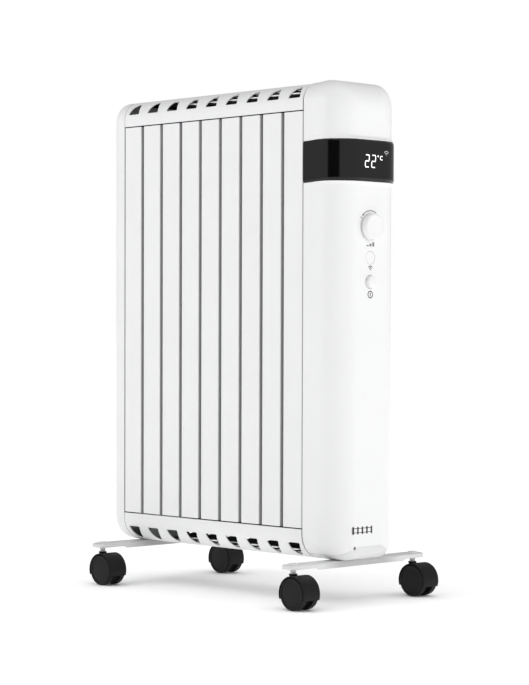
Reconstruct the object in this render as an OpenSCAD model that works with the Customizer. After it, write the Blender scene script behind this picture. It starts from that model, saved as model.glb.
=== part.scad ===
// Oil filled radiator heater on four twin-wheel castors, with a control housing at one end.
// Frame: +Z up, X along the row of fins towards the controls, origin on the floor
// at the centre of the bounding box. Millimetres.

/* [Fin stack] */
// Number of oil filled fins
fin_count = 9; // [5:1:11]
// Distance from one fin to the next
fin_pitch = 37.7; // [34:0.1:42]
// Open gap between two neighbouring side panels
panel_gap = 5; // [3:0.1:8]
// Depth of the body across the side panels
body_d = 120; // [100:1:140]
// Sheet thickness of a fin
fin_sheet = 0.6; // [0.6:0.1:1.2]
// Height of the lower edge of the side panels
panel_z0 = 92.6; // [88:0.1:100]
// Height of the upper edge of the side panels
panel_z1 = 602.6; // [500:0.1:602.6]
// Width of the oil chamber in a fin
chamber_w = 64; // [50:1:80]
// Outer thickness of the oil chamber
chamber_t = 9; // [7:0.5:12]
// Outer radius of the collars that join the fins
collar_r = 22.8; // [20:0.1:25]

/* [Covers] */
// Underside of the body above the floor
body_z0 = 54; // [50:0.5:60]
// Top of the sheet metal covers
body_z1 = 637.5; // [560:0.5:660]
// Corner radius along the bottom of the body
r_bottom = 32; // [28:1:36]
// Corner radius along the top of the body
r_top = 24; // [20:1:30]
// Sheet thickness of the covers
cover_t = 1; // [0.8:0.1:1.5]
// Open joint between neighbouring covers
joint = 0.6; // [0.4:0.1:1]
// Depth of the rear cover along X
rear_d = 29.8; // [25:0.1:35]
// Edge radius round the rear cover
rear_r = 20; // [12:1:24]
// Width of one air vent
vent_w = 20.5; // [14:0.5:24]

/* [Control housing] */
// Depth of the control housing along X
housing_d = 57; // [50:0.5:70]
// Height of the top of the housing
housing_z1 = 641.5; // [600:0.5:650]
// Plan radius of the two front corners
housing_r = 38; // [30:1:44]
// Wall thickness of the housing
wall = 3; // [2:0.5:4]
// Lower edge of the display band
band_z0 = 516.4; // [480:0.1:530]
// Height of the display band
band_h = 50.6; // [40:0.1:60]
// How far the display band stands proud at the front
band_proud = 6.4; // [3:0.1:8]

/* [Controls] */
// Height of the knob's centre
knob_z = 461.7; // [450:0.1:475]
// Radius of the knob
knob_r = 16.5; // [12:0.5:20]
// How far the knob stands proud of the housing
knob_proud = 8.9; // [6:0.1:12]
// Travel of the knob when pushed
knob_travel = 0.5; // [0.3:0.1:1]
// Height of the flush wireless button's centre
wifi_z = 424.2; // [415:0.1:430]
// Height of the raised power button's centre
power_z = 394.4; // [385:0.1:400]
// Radius of the two buttons
button_r = 7.8; // [6:0.1:10]
// Travel of a button when pressed
button_travel = 0.8; // [0.4:0.1:1.2]

/* [Feet and castors] */
// Width of a foot bar
bar_w = 27; // [22:0.5:32]
// Sheet thickness of a foot bar
bar_t = 1.6; // [1.2:0.1:2]
// Distance of a castor stem from the middle plane
stem_y = 106.3; // [90:0.1:120]
// Radius of a castor wheel
wheel_r = 20; // [18:0.5:22]
// Distance between a castor's stem and its axle
trail = 10.5; // [8:0.5:12]
// Half width of a castor over both wheels
castor_hw = 14; // [12:0.5:16]

/* [Hidden] */
$fn = 64;
eps = 0.01;
far = 400;

// Places along X, from the rear face to the front of the knob
stack_l = fin_count * fin_pitch - panel_gap;
total_l = rear_d + joint + stack_l + 0.8 + housing_d + knob_proud;
x_rear = -total_l / 2;
x_stack0 = x_rear + rear_d + joint;
x_stack1 = x_stack0 + stack_l;
x_house = x_stack1 + 0.8;
x_front = x_house + housing_d;
x_knob = x_front + knob_proud;
x_fin1 = x_stack0 + (fin_pitch - panel_gap) / 2;
x_collar0 = x_fin1 - fin_pitch / 2;
x_collar1 = x_collar0 + fin_count * fin_pitch;

// Fins
panel_w = fin_pitch - panel_gap;
panel_h = panel_z1 - panel_z0;
panel_lip = 8;
panel_edge_r = 1.5;
web_t = 1;
chamber_gap = 18;
chamber_r = 20;
header_z0 = 130;
header_z1 = 565;
header_z = [header_z0, header_z1];

// Openings in the top and bottom covers
vent_top_angle = 35;
vent_bottom_angle = 42.7;
vent_top_h = 16.6;
vent_bottom_h = 22.2;
slot_rows = 3;
slot_rib = 7;
slot_span = 52;
slot_l = (slot_span - (slot_rows - 1) * slot_rib) / slot_rows;

// End plates behind the rear cover and behind the control housing
plate_t = 1;
plate_hole_r = collar_r + 0.4;
x_rear_plate = x_stack0 - joint - 0.3 - plate_t;
x_shield = x_house + 0.4;
well_y = 32;
well_z = [150, 540];
well_r = 6;

// Control housing
housing_r_top = 26;
housing_front_r_top = 22;
housing_front_r_bottom = 14;
housing_rise = 4;
housing_rise_l = 24;
split_z = 62;
tongue_z = 71;
tongue_w0 = 44;
tongue_w1 = 20;
split_gap = 0.2;
front_screw_y = -25;
front_screw_z = 70;
front_screw_r = 1.7;
band_inset = 1.5;
band_wall = 2.5;
band_r = 42;
window_w = 74;
display_w = 68;
window_m = 5;
x_wall = x_front - wall;

// Parts behind the controls
board_t = 1.6;
x_board = x_front - 14.8;
x_board_front = x_board + board_t;
encoder_l = 6;
neck_r = 4.6;
sleeve_bore_r = 3.6;
sleeve_r = 3.55;
shaft_bore_r = 3.04;
shaft_r = 3;
hub_r = 6;
tact_l = 4.3;
button_gap = 0.4;
button_flange = 1.4;

// Foot bars
x_bar_rear = x_rear + 40.4;
x_bar_front = x_house + 32.3;
bar_x = [x_bar_rear, x_bar_front];
bar_skirt_z = 46.5;
bar_end_z = 48.8;
bar_mid_y = 77;
foot_screw_y = 22;
foot_screw_r = 2.45;

// Castors
stem_r = 3.6;
stem_clear = 0.05;
stem_top_z = 55;
nut_r = 6;
nut_h = 2;
boss_r = 5.2;
boss_z = 43;
hood_r0 = wheel_r + 0.5;
hood_r1 = wheel_r + 1.7;
hood_hw = 14;
web_hw = 5;
hood_edge_z = 13;
wheel_in = web_hw + 0.5;
axle_r = 3;
axle_hw = 12;

// Tip-over switch: its pin's centre
tilt_x = x_shield + plate_t + 9;
tilt_y = 30;
tilt_z = 190;

// Cord gland on the +Y side
gland_x = x_house + 12;
gland_z = 96;
gland_bore_r = 3.8;
gland_r = 7;

// ---------------------------------------------------------------- helpers

// Extrudes a YZ outline along X from x0 to x1
module along_x(x0, x1)
    translate([x0, 0, 0]) rotate([90, 0, 90]) linear_extrude(x1 - x0) children();

// Extrudes an XZ outline along Y, centred on the middle plane
module along_y(width)
    rotate([90, 0, 0]) linear_extrude(width, center = true) children();

// Cylinder along X from x0 to x1
module rod_x(x0, x1, r)
    translate([x0, 0, 0]) rotate([0, 90, 0]) cylinder(r = r, h = x1 - x0);

// Rectangle with its four corners rounded, centred
module round_rect(w, h, r) {
    square([w - 2 * r, h], center = true);
    square([w, h - 2 * r], center = true);
    for (sx = [-1, 1], sy = [-1, 1])
        translate([sx * (w / 2 - r), sy * (h / 2 - r)]) circle(r);
}

// Body outline in YZ: bottom corners of radius r0, top corners of radius r1
module body_outline(w, z0, z1, r0, r1) {
    translate([-w / 2, z0 + r0]) square([w, z1 - z0 - r0 - r1]);
    translate([-w / 2 + r0, z0]) square([w - 2 * r0, r0 + eps]);
    translate([-w / 2 + r1, z1 - r1 - eps]) square([w - 2 * r1, r1 + eps]);
    for (s = [-1, 1]) {
        translate([s * (w / 2 - r0), z0 + r0]) circle(r0);
        translate([s * (w / 2 - r1), z1 - r1]) circle(r1);
    }
}

// Plan outline from x = 0 to x = d, with both corners at x = d rounded
module end_plan(d, w, r) intersection() {
    translate([0, -w / 2]) square([d, w]);
    union() {
        translate([0, -w / 2]) square([d - r, w]);
        translate([d - r - eps, -w / 2 + r]) square([r + eps, w - 2 * r]);
        for (s = [-1, 1]) translate([d - r, s * (w / 2 - r)]) circle(r);
    }
}

// Side outline from x = 0 to x = d, bottom corner radius r0 and top corner r1 at x = d
module end_side(d, z0, z1, r0, r1) {
    translate([0, z0]) square([d - max(r0, r1), z1 - z0]);
    translate([0, z0]) square([d - r0, z1 - z0 - r1]);
    translate([0, z0 + r0]) square([d - r1, z1 - z0 - r0]);
    translate([0, z0 + r0]) square([d, z1 - z0 - r0 - r1]);
    translate([d - r0, z0 + r0]) circle(r0);
    translate([d - r1, z1 - r1]) circle(r1);
}

// A fin-shaped vent: flat base, leaning left edge, tip at lean * vent_w
function vent_points(h, lean) = concat(
    [[0, 0]],
    [for (i = [1 : 5]) let (a = i * 18) [lean * vent_w * pow(1 - cos(a), 0.75), h * sin(a)]],
    [for (i = [1 : 3]) let (t = i / 3)
        [vent_w * (lean + (1 - lean) * pow(t, 0.8)), h * (1 - pow(t, 1.6))]]);

// All vents of one side of a cover. angle is the slope of the cut, r the corner radius.
module vent_row(side, z_c, r, up, angle, h, lean)
    for (i = [0 : fin_count - 1])
        translate([x_fin1 + i * fin_pitch + 0.4 - vent_w / 2, side * (body_d / 2 - r), z_c])
            mirror([0, side > 0 ? 1 : 0, 0])
                mirror([0, 0, up > 0 ? 0 : 1])
                    rotate([90 - angle, 0, 0]) translate([0, -h / 2, r - 12])
                        linear_extrude(24) polygon(vent_points(h, lean));

// Transverse air slots in the flat face of a cover, one group for each fin but the first
module slot_rows(z)
    for (i = [1 : fin_count - 1], j = [0 : slot_rows - 1])
        translate([x_fin1 + i * fin_pitch - vent_w / 2 + 0.4,
                   -slot_span / 2 + j * (slot_l + slot_rib), z - 5])
            cube([vent_w, slot_l, 10]);

// Solid of the control housing grown inwards by t
module housing_solid(t) {
    d = housing_d - t;
    intersection() {
        along_x(x_house - eps, x_front - t)
            body_outline(body_d - 2 * t, body_z0 + t, housing_z1 - t,
                         r_bottom - t, housing_r_top - t);
        translate([x_house - eps, 0, 0]) linear_extrude(far * 2)
            end_plan(d + eps, body_d - 2 * t, housing_r - t);
        translate([x_house - eps, 0, 0]) along_y(body_d) intersection() {
            end_side(d + eps, body_z0 + t, housing_z1 - t,
                     housing_front_r_bottom - t, housing_front_r_top - t);
            polygon([[0, body_z0], [housing_d, body_z0], [housing_d, housing_z1],
                     [housing_rise_l, housing_z1 - t], [0, housing_z1 - housing_rise - t]]);
        }
    }
}

// Region below the housing's lower edge, with the tongue that rises at the front
module cover_region(g) {
    translate([x_house - 1, -body_d / 2 - 1, body_z0 - 1])
        cube([housing_d + 2, body_d + 2, split_z - body_z0 + 1 + g]);
    along_x(x_front - 12, x_front + 1)
        polygon([[-tongue_w0 - g, split_z - 1], [tongue_w0 + g, split_z - 1],
                 [tongue_w0 + g, split_z + g], [tongue_w1 + g, tongue_z + g],
                 [-tongue_w1 - g, tongue_z + g], [-tongue_w0 - g, split_z + g]]);
}

// Plate that fits inside the body outline, with holes for the two collars
module end_plate(x0, z1) {
    difference() {
        along_x(x0, x0 + plate_t)
            body_outline(body_d - 8, body_z0 + 4, z1 - 4, r_bottom - 4, r_top - 4);
        for (z = header_z) translate([0, 0, z]) rod_x(x0 - 1, x0 + plate_t + 1, plate_hole_r);
    }
}

// The four screw wells of the rear cover
module at_wells() for (s = [-1, 1], z = well_z) translate([0, s * well_y, z]) children();

// ---------------------------------------------------------------- oil body

module fin(i)
    color("whitesmoke") translate([x_fin1 + (i - 1) * fin_pitch, 0, 0]) difference() {
        union() {
            for (s = [-1, 1]) translate([0, s * (body_d / 2 - panel_lip), panel_z0])
                linear_extrude(panel_h) difference() {
                    round_rect(panel_w, 2 * panel_lip, panel_edge_r);
                    round_rect(panel_w - 2 * fin_sheet, 2 * (panel_lip - fin_sheet),
                               panel_edge_r - fin_sheet);
                    translate([-panel_w, s > 0 ? -2 * panel_lip : 0])
                        square([2 * panel_w, 2 * panel_lip]);
                }
            for (s = [-1, 1])
                translate([-web_t / 2, s > 0 ? chamber_w / 2 - 1 : -body_d / 2 + fin_sheet / 2,
                           panel_z0 + 1])
                    cube([web_t, (body_d - chamber_w - fin_sheet) / 2 + 1, panel_h - 2]);
            along_x(-chamber_t / 2, chamber_t / 2) translate([0, (panel_z0 + panel_z1) / 2])
                round_rect(chamber_w, panel_h - 2 * chamber_gap, chamber_r);
            for (z = header_z) translate([0, 0, z])
                rod_x(-fin_pitch / 2, fin_pitch / 2, collar_r);
        }
        along_x(-chamber_t / 2 + fin_sheet, chamber_t / 2 - fin_sheet)
            translate([0, (panel_z0 + panel_z1) / 2])
                round_rect(chamber_w - 2 * fin_sheet, panel_h - 2 * chamber_gap - 2 * fin_sheet,
                           chamber_r - fin_sheet);
        for (z = header_z) translate([0, 0, z])
            rod_x(-fin_pitch / 2 - 1, fin_pitch / 2 + 1, collar_r - fin_sheet);
    }

// Discs welded over the collar ends that carry no fitting
module header_caps() color("gainsboro") {
    translate([0, 0, header_z0]) rod_x(x_collar0 - 1.5, x_collar0, collar_r);
    for (x = [x_collar0 - 1.5, x_collar1]) translate([0, 0, header_z1]) difference() {
        rod_x(x, x + 1.5, collar_r);
        if (x < 0) rod_x(x - 1, x + 3, 6.05);
    }
}

// Plug in the filling hole of the upper rear cap
module filler_plug() color("silver") translate([0, 0, header_z1]) {
    rod_x(x_collar0 - 4, x_collar0 - 1.5, 9);
    rod_x(x_collar0 - 1.5, x_collar0 + 4, 6);
}

module element_gasket() color("dimgray") translate([0, 0, header_z0]) difference() {
    rod_x(x_collar1, x_collar1 + 1.5, 27);
    rod_x(x_collar1 - 1, x_collar1 + 3, 19);
}

// Two sheathed hairpin heaters on a flange with four terminals
module heating_element() color("dimgray") translate([0, 0, header_z0]) {
    hairpin_y = 8;
    hairpin_z = 6;
    tube_r = 4;
    x_flange = x_collar1 + 1.5;
    x_bend = x_collar0 + 30;
    rod_x(x_flange, x_flange + 3.5, 27);
    for (sz = [-1, 1]) translate([0, 0, sz * hairpin_z]) {
        for (sy = [-1, 1]) translate([0, sy * hairpin_y, 0]) {
            rod_x(x_bend, x_flange + eps, tube_r);
            rod_x(x_flange + 3.5 - eps, x_flange + 12, 2.2);
        }
        translate([x_bend, 0, 0]) rotate([0, 0, 90])
            rotate_extrude(angle = 180) translate([hairpin_y, 0]) circle(tube_r);
    }
}

// ---------------------------------------------------------------- covers

module top_grille() color("whitesmoke") difference() {
    z_skirt = panel_z1 + 1.5;
    along_x(x_stack0, x_stack1) difference() {
        body_outline(body_d, body_z0, body_z1, r_bottom, r_top);
        body_outline(body_d - 2 * cover_t, body_z0 + cover_t, body_z1 - cover_t,
                     r_bottom - cover_t, r_top - cover_t);
        translate([-body_d, 0]) square([2 * body_d, z_skirt]);
    }
    for (s = [-1, 1])
        vent_row(s, body_z1 - r_top, r_top, 1, vent_top_angle, vent_top_h, 0.77);
    slot_rows(body_z1);
}

module bottom_grille() color("whitesmoke") difference() {
    z_skirt = panel_z0 - 1.5;
    along_x(x_stack0, x_stack1) difference() {
        body_outline(body_d, body_z0, body_z1, r_bottom, r_top);
        body_outline(body_d - 2 * cover_t, body_z0 + cover_t, body_z1 - cover_t,
                     r_bottom - cover_t, r_top - cover_t);
        translate([-body_d, z_skirt]) square([2 * body_d, far * 2]);
    }
    for (s = [-1, 1])
        vent_row(s, body_z0 + r_bottom, r_bottom, -1, vent_bottom_angle, vent_bottom_h, 0.52);
    slot_rows(body_z0);
    for (s = [-1, 1]) translate([x_bar_rear, s * foot_screw_y, body_z0 - 1])
        cylinder(r = foot_screw_r + 0.15, h = 4);
}

module rear_plate() color("silver") difference() {
    end_plate(x_rear_plate, body_z1);
    at_wells() rod_x(x_rear_plate - 1, x_rear_plate + 2, 2);
}

// Solid of the rear cover grown inwards by t
module rear_solid(t) {
    d = rear_d - t;
    mirror([1, 0, 0]) intersection() {
        along_x(-(x_stack0 - joint) - eps, -x_rear - t)
            body_outline(body_d - 2 * t, body_z0 + t, body_z1 - t, r_bottom - t, r_top - t);
        translate([-(x_stack0 - joint) - eps, 0, 0]) linear_extrude(far * 2)
            end_plan(d + eps, body_d - 2 * t, rear_r - t);
        translate([-(x_stack0 - joint) - eps, 0, 0]) along_y(body_d)
            end_side(d + eps, body_z0 + t, body_z1 - t, rear_r - t, rear_r - t);
    }
}

module rear_cover() color("whitesmoke") difference() {
    union() {
        difference() {
            rear_solid(0);
            rear_solid(cover_t);
        }
        at_wells() rod_x(x_rear + cover_t / 2, x_rear_plate, well_r);
    }
    translate([x_stack0 - joint, -body_d, 0]) cube([10, 2 * body_d, far * 2]);
    at_wells() {
        rod_x(x_rear - 1, x_rear_plate - 1.5, well_r - 1.2);
        rod_x(x_rear_plate - 3, x_rear_plate + 1, 2);
    }
}

// The screw low on the housing's front
module at_front_screw() translate([0, front_screw_y, front_screw_z]) children();

// Four screws at the bottom of the rear cover's wells, and the one at the front
module cover_screws() color("silver") {
    at_wells() {
        rod_x(x_rear_plate - 3.7, x_rear_plate - 1.5, 3.6);
        rod_x(x_rear_plate - 1.5 - eps, x_rear_plate + 4, 1.9);
    }
    at_front_screw() rod_x(x_front - 11, x_front - 2.2, front_screw_r);
}

// ---------------------------------------------------------------- control end

module heat_shield() color("silver") end_plate(x_shield, body_z1);

module control_housing() color("white") {
    difference() {
        union() {
            difference() {
                housing_solid(0);
                housing_solid(wall);
            }
            for (sy = [-1, 1], z = [392, 474]) translate([0, sy * 19, z])
                rod_x(x_board_front, x_wall + 1, 3);
        }
        translate([x_house - 2, -body_d, 0]) cube([2, 2 * body_d, far * 2]);
        cover_region(split_gap);
        translate([x_house, 0, band_z0]) linear_extrude(band_h) difference() {
            translate([-1, -body_d]) square([housing_d + 10, 2 * body_d]);
            translate([-2, 0]) end_plan(housing_d + 2 - band_inset, body_d - 2 * band_inset,
                                        housing_r - band_inset);
        }
        translate([x_front - 12, -window_w / 2, band_z0 + window_m])
            cube([14, window_w, band_h - 2 * window_m]);
        translate([0, 0, knob_z]) rod_x(x_wall - 2, x_front + 1, hub_r + 0.5);
        for (z = [wifi_z, power_z])
            translate([0, 0, z]) rod_x(x_wall - 2, x_front + 1, button_r + button_gap);
        at_front_screw() rod_x(x_front - 12, x_front + 1, front_screw_r + 0.2);
        translate([gland_x, body_d / 2 - 10, gland_z]) rotate([-90, 0, 0])
            cylinder(r = gland_r + 0.05, h = 20);
    }
}

module bottom_cover() color("gainsboro") difference() {
    intersection() {
        difference() {
            housing_solid(0);
            housing_solid(wall);
        }
        cover_region(-split_gap);
    }
    translate([x_house - 2, -body_d, 0]) cube([2, 2 * body_d, far * 2]);
    at_front_screw() rod_x(x_front - 12, x_front + 1, front_screw_r + 0.6);
    for (s = [-1, 1]) translate([x_bar_front, s * foot_screw_y, body_z0 - 1])
        cylinder(r = foot_screw_r + 0.15, h = 6);
}

// Gloss black band that wraps the front of the housing, hollow behind the display
module display_band() color("black") difference() {
    translate([x_house, 0, band_z0]) linear_extrude(band_h) difference() {
        end_plan(housing_d + band_proud, body_d, band_r);
        translate([-2, 0]) end_plan(housing_d + 2 - band_inset, body_d - 2 * band_inset,
                                    housing_r - band_inset);
    }
    translate([x_house, 0, band_z0 + window_m + 1]) linear_extrude(band_h - 2 * window_m - 2)
        intersection() {
            end_plan(housing_d + band_proud - band_wall, body_d - 2 * band_wall,
                     band_r - band_wall);
            translate([housing_d - 10, -window_w / 2]) square([20, window_w]);
        }
}

// Display board with its digit block, in the window behind the band
module display_board() color("darkgreen") {
    translate([x_wall + 0.2, -display_w / 2, band_z0 + window_m + 1.5])
        cube([board_t, display_w, band_h - 2 * window_m - 3]);
    translate([x_wall + 0.2 + board_t - eps, -22, band_z0 + band_h / 2 - 10])
        cube([4, 44, 20]);
}

// Board that carries the encoder and two tactile switches
module control_board() color("darkgreen") {
    translate([x_board, -22, 382]) cube([board_t, 44, 98]);
    for (z = [wifi_z, power_z]) translate([0, 0, z]) {
        translate([x_board_front - eps, -3, -3]) cube([tact_l - 0.8, 6, 6]);
        rod_x(x_board_front, x_board_front + tact_l, 1.7);
    }
}

module encoder_body() color("dimgray") translate([0, 0, knob_z]) difference() {
    union() {
        translate([x_board_front, -6, -6]) cube([encoder_l, 12, 12]);
        rod_x(x_board_front + encoder_l - eps, x_wall - 0.6, neck_r);
    }
    rod_x(x_board_front - 1, x_wall, sleeve_bore_r);
}

// Sleeve that slides in the encoder's neck and carries the shaft
module encoder_plunger() color("silver") translate([0, 0, knob_z]) difference() {
    rod_x(x_board_front + 1.6, x_wall - 1.4, sleeve_r);
    rod_x(x_board_front, x_wall, shaft_bore_r);
}

module encoder_shaft() color("silver") translate([0, 0, knob_z])
    rod_x(x_board_front + 1, x_knob - 3, shaft_r);

module knob() color("white") translate([0, 0, knob_z]) difference() {
    l = knob_proud - 1;
    translate([x_knob - l, 0, 0]) rotate([0, 90, 0]) rotate_extrude() {
        edge = 2.2;
        square([knob_r - edge, l]);
        square([knob_r, l - edge]);
        translate([knob_r - edge, l - edge]) circle(edge);
    }
    rod_x(x_knob - l - 1, x_knob - 3 + 0.1, shaft_r + 0.02);
    difference() {
        rod_x(x_knob - l - 1, x_knob - 3.5, knob_r - 2);
        rod_x(x_knob - l - 2, x_knob - 3, hub_r);
    }
}

// Push button cap: front face at x1, stem reaching back to its tactile switch
module button(z, x1, edge) translate([0, 0, z]) {
    x0 = x_wall - 0.2 - button_flange;
    translate([x0, 0, 0]) rotate([0, 90, 0]) rotate_extrude() {
        square([button_r - edge, x1 - x0]);
        square([button_r, x1 - x0 - edge]);
        translate([button_r - edge, x1 - x0 - edge]) circle(edge);
        square([button_r + 1.2, button_flange]);
    }
    rod_x(x_board_front + tact_l + button_travel + 0.05, x0 + 1, 2.5);
}

module wifi_button() color("white") button(wifi_z, x_front, 0.5);

module power_button() color("white") button(power_z, x_front + 5, 2.4);

// Mains board with relays, on four pillars from the heat shield
module power_board() color("darkgreen") {
    x0 = x_shield + plate_t;
    translate([x0 + 12, -35, 210]) cube([board_t, 70, 120]);
    for (sy = [-1, 1], z = [218, 322]) translate([0, sy * 29, z]) rod_x(x0, x0 + 12 + eps, 3);
    for (k = [0, 1]) translate([x0 + 12 + board_t - eps, -28 + k * 32, 225])
        cube([16, 19, 15]);
    translate([x0 + 12 + board_t - eps, -28, 275]) cube([14, 40, 32]);
    translate([0, 25, 290]) rod_x(x0 + 12 + board_t - eps, x0 + 28, 6);
}

module terminal_block() color("ivory") difference() {
    x0 = x_shield + plate_t;
    translate([x0, -48, 164]) cube([14, 40, 20]);
    for (k = [0 : 2]) translate([0, -41.5 + k * 13, 174]) rod_x(x0 + 5, x0 + 20, 3);
}

// Bimetal overheat switch clipped to the hot end of the stack
module thermal_cutout() color("silver") translate([0, 0, 400]) {
    x0 = x_shield + plate_t;
    rod_x(x0, x0 + 8, 8);
    for (s = [-1, 1]) translate([x0 + 8 - eps, s * 4 - 0.4, -3]) cube([9, 0.8, 6]);
}

// Room temperature sensor low down in the housing
module temperature_probe() color("black") translate([0, -42, 0]) {
    x0 = x_shield + plate_t;
    translate([x0, -5, 72]) cube([6, 10, 12]);
    translate([x0 + 6 - eps, 0, 78]) rotate([0, 90, 0]) cylinder(r = 2.5, h = 14);
}

// Case of the tip-over switch, with the pendulum's pin
module tilt_switch() color("ivory") {
    difference() {
        translate([tilt_x - 9, tilt_y - 16, tilt_z - 26]) cube([18, 32, 34]);
        translate([tilt_x - 7, tilt_y - 14, tilt_z - 24]) cube([20, 28, 30]);
    }
    translate([0, tilt_y, tilt_z]) rod_x(tilt_x - 7 - eps, tilt_x + 7, 1.5);
}

// Weighted pendulum that hangs on the pin
module tilt_pendulum() color("silver") translate([0, tilt_y, tilt_z]) difference() {
    union() {
        rod_x(tilt_x - 2, tilt_x + 2, 4);
        translate([tilt_x - 1, -1.5, -16]) cube([2, 3, 14]);
        translate([0, 0, -17]) rod_x(tilt_x - 5, tilt_x + 5, 5);
    }
    rod_x(tilt_x - 6, tilt_x + 6, 1.55);
}

// Bush that the supply cord would come out of
module cord_gland() color("black") translate([gland_x, 0, gland_z]) rotate([-90, 0, 0]) {
    difference() {
        union() {
            translate([0, 0, body_d / 2 - 12]) cylinder(r = gland_r, h = 18);
            translate([0, 0, body_d / 2]) cylinder(r = gland_r + 2, h = 2);
            translate([0, 0, body_d / 2 - wall - 3.1]) cylinder(r = gland_r + 2, h = 3);
        }
        translate([0, 0, body_d / 2 - 13]) cylinder(r = gland_bore_r, h = 20);
    }
}

// ---------------------------------------------------------------- feet

module foot_bracket_front() color("silver") difference() {
    x0 = x_shield + plate_t;
    union() {
        translate([x0, -27, body_z0 + wall]) cube([39, 54, 2]);
        translate([x0, -27, body_z0 + wall]) cube([2, 54, 42]);
    }
    for (s = [-1, 1]) translate([x_bar_front, s * foot_screw_y, body_z0])
        cylinder(r = foot_screw_r + 0.05, h = 10);
}

module foot_bracket_rear() color("silver") difference() {
    x_web = x_fin1 - web_t / 2;
    union() {
        translate([x_stack0 + 1, -27, body_z0 + cover_t]) cube([22, 54, 2]);
        translate([x_web - 1.5, -27, body_z0 + cover_t]) cube([1.5, 54, 36]);
        for (s = [-1, 1]) translate([x_web - 1.5, s > 0 ? 24 : -50, body_z0 + 26])
            cube([1.5, 26, 62]);
    }
    for (s = [-1, 1]) translate([x_bar_rear, s * foot_screw_y, body_z0])
        cylinder(r = foot_screw_r + 0.05, h = 6);
    translate([x_web - 3, -chamber_w / 2 - 0.5, panel_z0 + chamber_gap - 1])
        cube([3, chamber_w + 1, 60]);
}

// Screws that hold the foot bars to the brackets
module foot_screws() color("silver")
    for (x = bar_x, s = [-1, 1]) translate([x, s * foot_screw_y, 0]) {
        translate([0, 0, body_z0 - bar_t - 2.5]) cylinder(r = 4.5, h = 2.5);
        translate([0, 0, body_z0 - bar_t - eps]) cylinder(r = foot_screw_r, h = 8);
    }

// Foot bar outline: a straight bar with round ends about the stems
module bar_outline(w) {
    square([w, 2 * stem_y], center = true);
    for (s = [-1, 1]) translate([0, s * stem_y]) circle(w / 2);
}

// Inverted channel, deeper in the middle than at its ends
module foot_bar(x) color("white") translate([x, 0, 0]) difference() {
    translate([0, 0, bar_skirt_z]) linear_extrude(body_z0 - bar_skirt_z) bar_outline(bar_w);
    translate([0, 0, bar_skirt_z - 1]) linear_extrude(body_z0 - bar_t - bar_skirt_z + 1)
        bar_outline(bar_w - 2 * bar_t);
    for (s = [-1, 1]) {
        translate([-bar_w, s > 0 ? bar_mid_y : -bar_mid_y - 60, bar_skirt_z - 1])
            cube([2 * bar_w, 60, bar_end_z - bar_skirt_z + 1]);
        translate([0, s * stem_y, body_z0 - 5]) cylinder(r = stem_r + 0.1, h = 10);
        translate([0, s * foot_screw_y, body_z0 - 5]) cylinder(r = foot_screw_r + 0.1, h = 10);
    }
}

module at_stems()
    for (x = bar_x, s = [-1, 1]) translate([x, s * stem_y, 0]) children();

// Stems, each with a lock nut up in the channel of its foot bar
module castor_stems() color("silver") at_stems() {
    nut_z = bar_end_z + 0.8;
    translate([0, 0, 26]) cylinder(r = stem_r, h = stem_top_z - 26);
    translate([0, 0, nut_z]) cylinder(r = 6.2, h = body_z0 - bar_t - nut_z);
}

// Low cap nuts on top of the foot bars
module castor_nuts() color("white") at_stems() difference() {
    translate([0, 0, body_z0]) rotate_extrude() {
        edge = 0.8;
        square([nut_r - edge, nut_h]);
        square([nut_r, nut_h - edge]);
        translate([nut_r - edge, nut_h - edge]) circle(edge);
    }
    translate([0, 0, body_z0 - 1]) cylinder(r = stem_r + 0.02, h = 1 + stem_top_z - body_z0 + 0.02);
}

// ---------------------------------------------------------------- castors

// Castor hood at rest, its stem axis on the Z axis and its axle at x = trail
module hood() color("#1c1c1e") difference() {
    union() {
        translate([trail, 0, wheel_r]) rotate([90, 0, 0]) {
            difference() {
                cylinder(r = hood_r1, h = 2 * hood_hw, center = true);
                cylinder(r = hood_r0, h = 2 * hood_hw + 1, center = true);
            }
            cylinder(r = hood_r0 + 0.5, h = 2 * web_hw, center = true);
        }
        translate([0, 0, 22]) cylinder(r = boss_r, h = boss_z - 22);
    }
    translate([-far / 2, -far / 2, -10]) cube([far, far, hood_edge_z + 10]);
    translate([0, 0, 24]) cylinder(r = stem_r + stem_clear, h = 30);
    translate([trail, 0, wheel_r]) rotate([90, 0, 0])
        cylinder(r = axle_r + 0.02, h = 60, center = true);
}

// One wheel, side s = -1 or 1, its outer disc slightly domed
module wheel(s) color("#161617") translate([trail, 0, wheel_r]) rotate([-90 * s, 0, 0])
    difference() {
        rotate_extrude() {
            edge = 2.2;
            translate([0, wheel_in]) square([wheel_r, castor_hw - edge - wheel_in]);
            translate([0, wheel_in]) square([wheel_r - edge, castor_hw - wheel_in]);
            translate([wheel_r - edge, castor_hw - edge]) circle(edge);
        }
        translate([0, 0, wheel_in - 1]) cylinder(r = axle_r + 0.05, h = axle_hw + 1.2 - wheel_in);
        translate([0, 0, wheel_in - 1]) difference() {
            cylinder(r = wheel_r - 3.5, h = 4);
            cylinder(r = axle_r + 2.5, h = 4);
        }
    }

// Places a castor piece: fx 0 front or 1 rear, s -1 left or 1 right
module at_castor(fx, s) translate([fx > 0 ? x_bar_rear : x_bar_front, s * stem_y, 0]) children();

module axle() color("silver") translate([trail, 0, wheel_r]) rotate([90, 0, 0])
    cylinder(r = axle_r, h = 2 * axle_hw, center = true);

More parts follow.
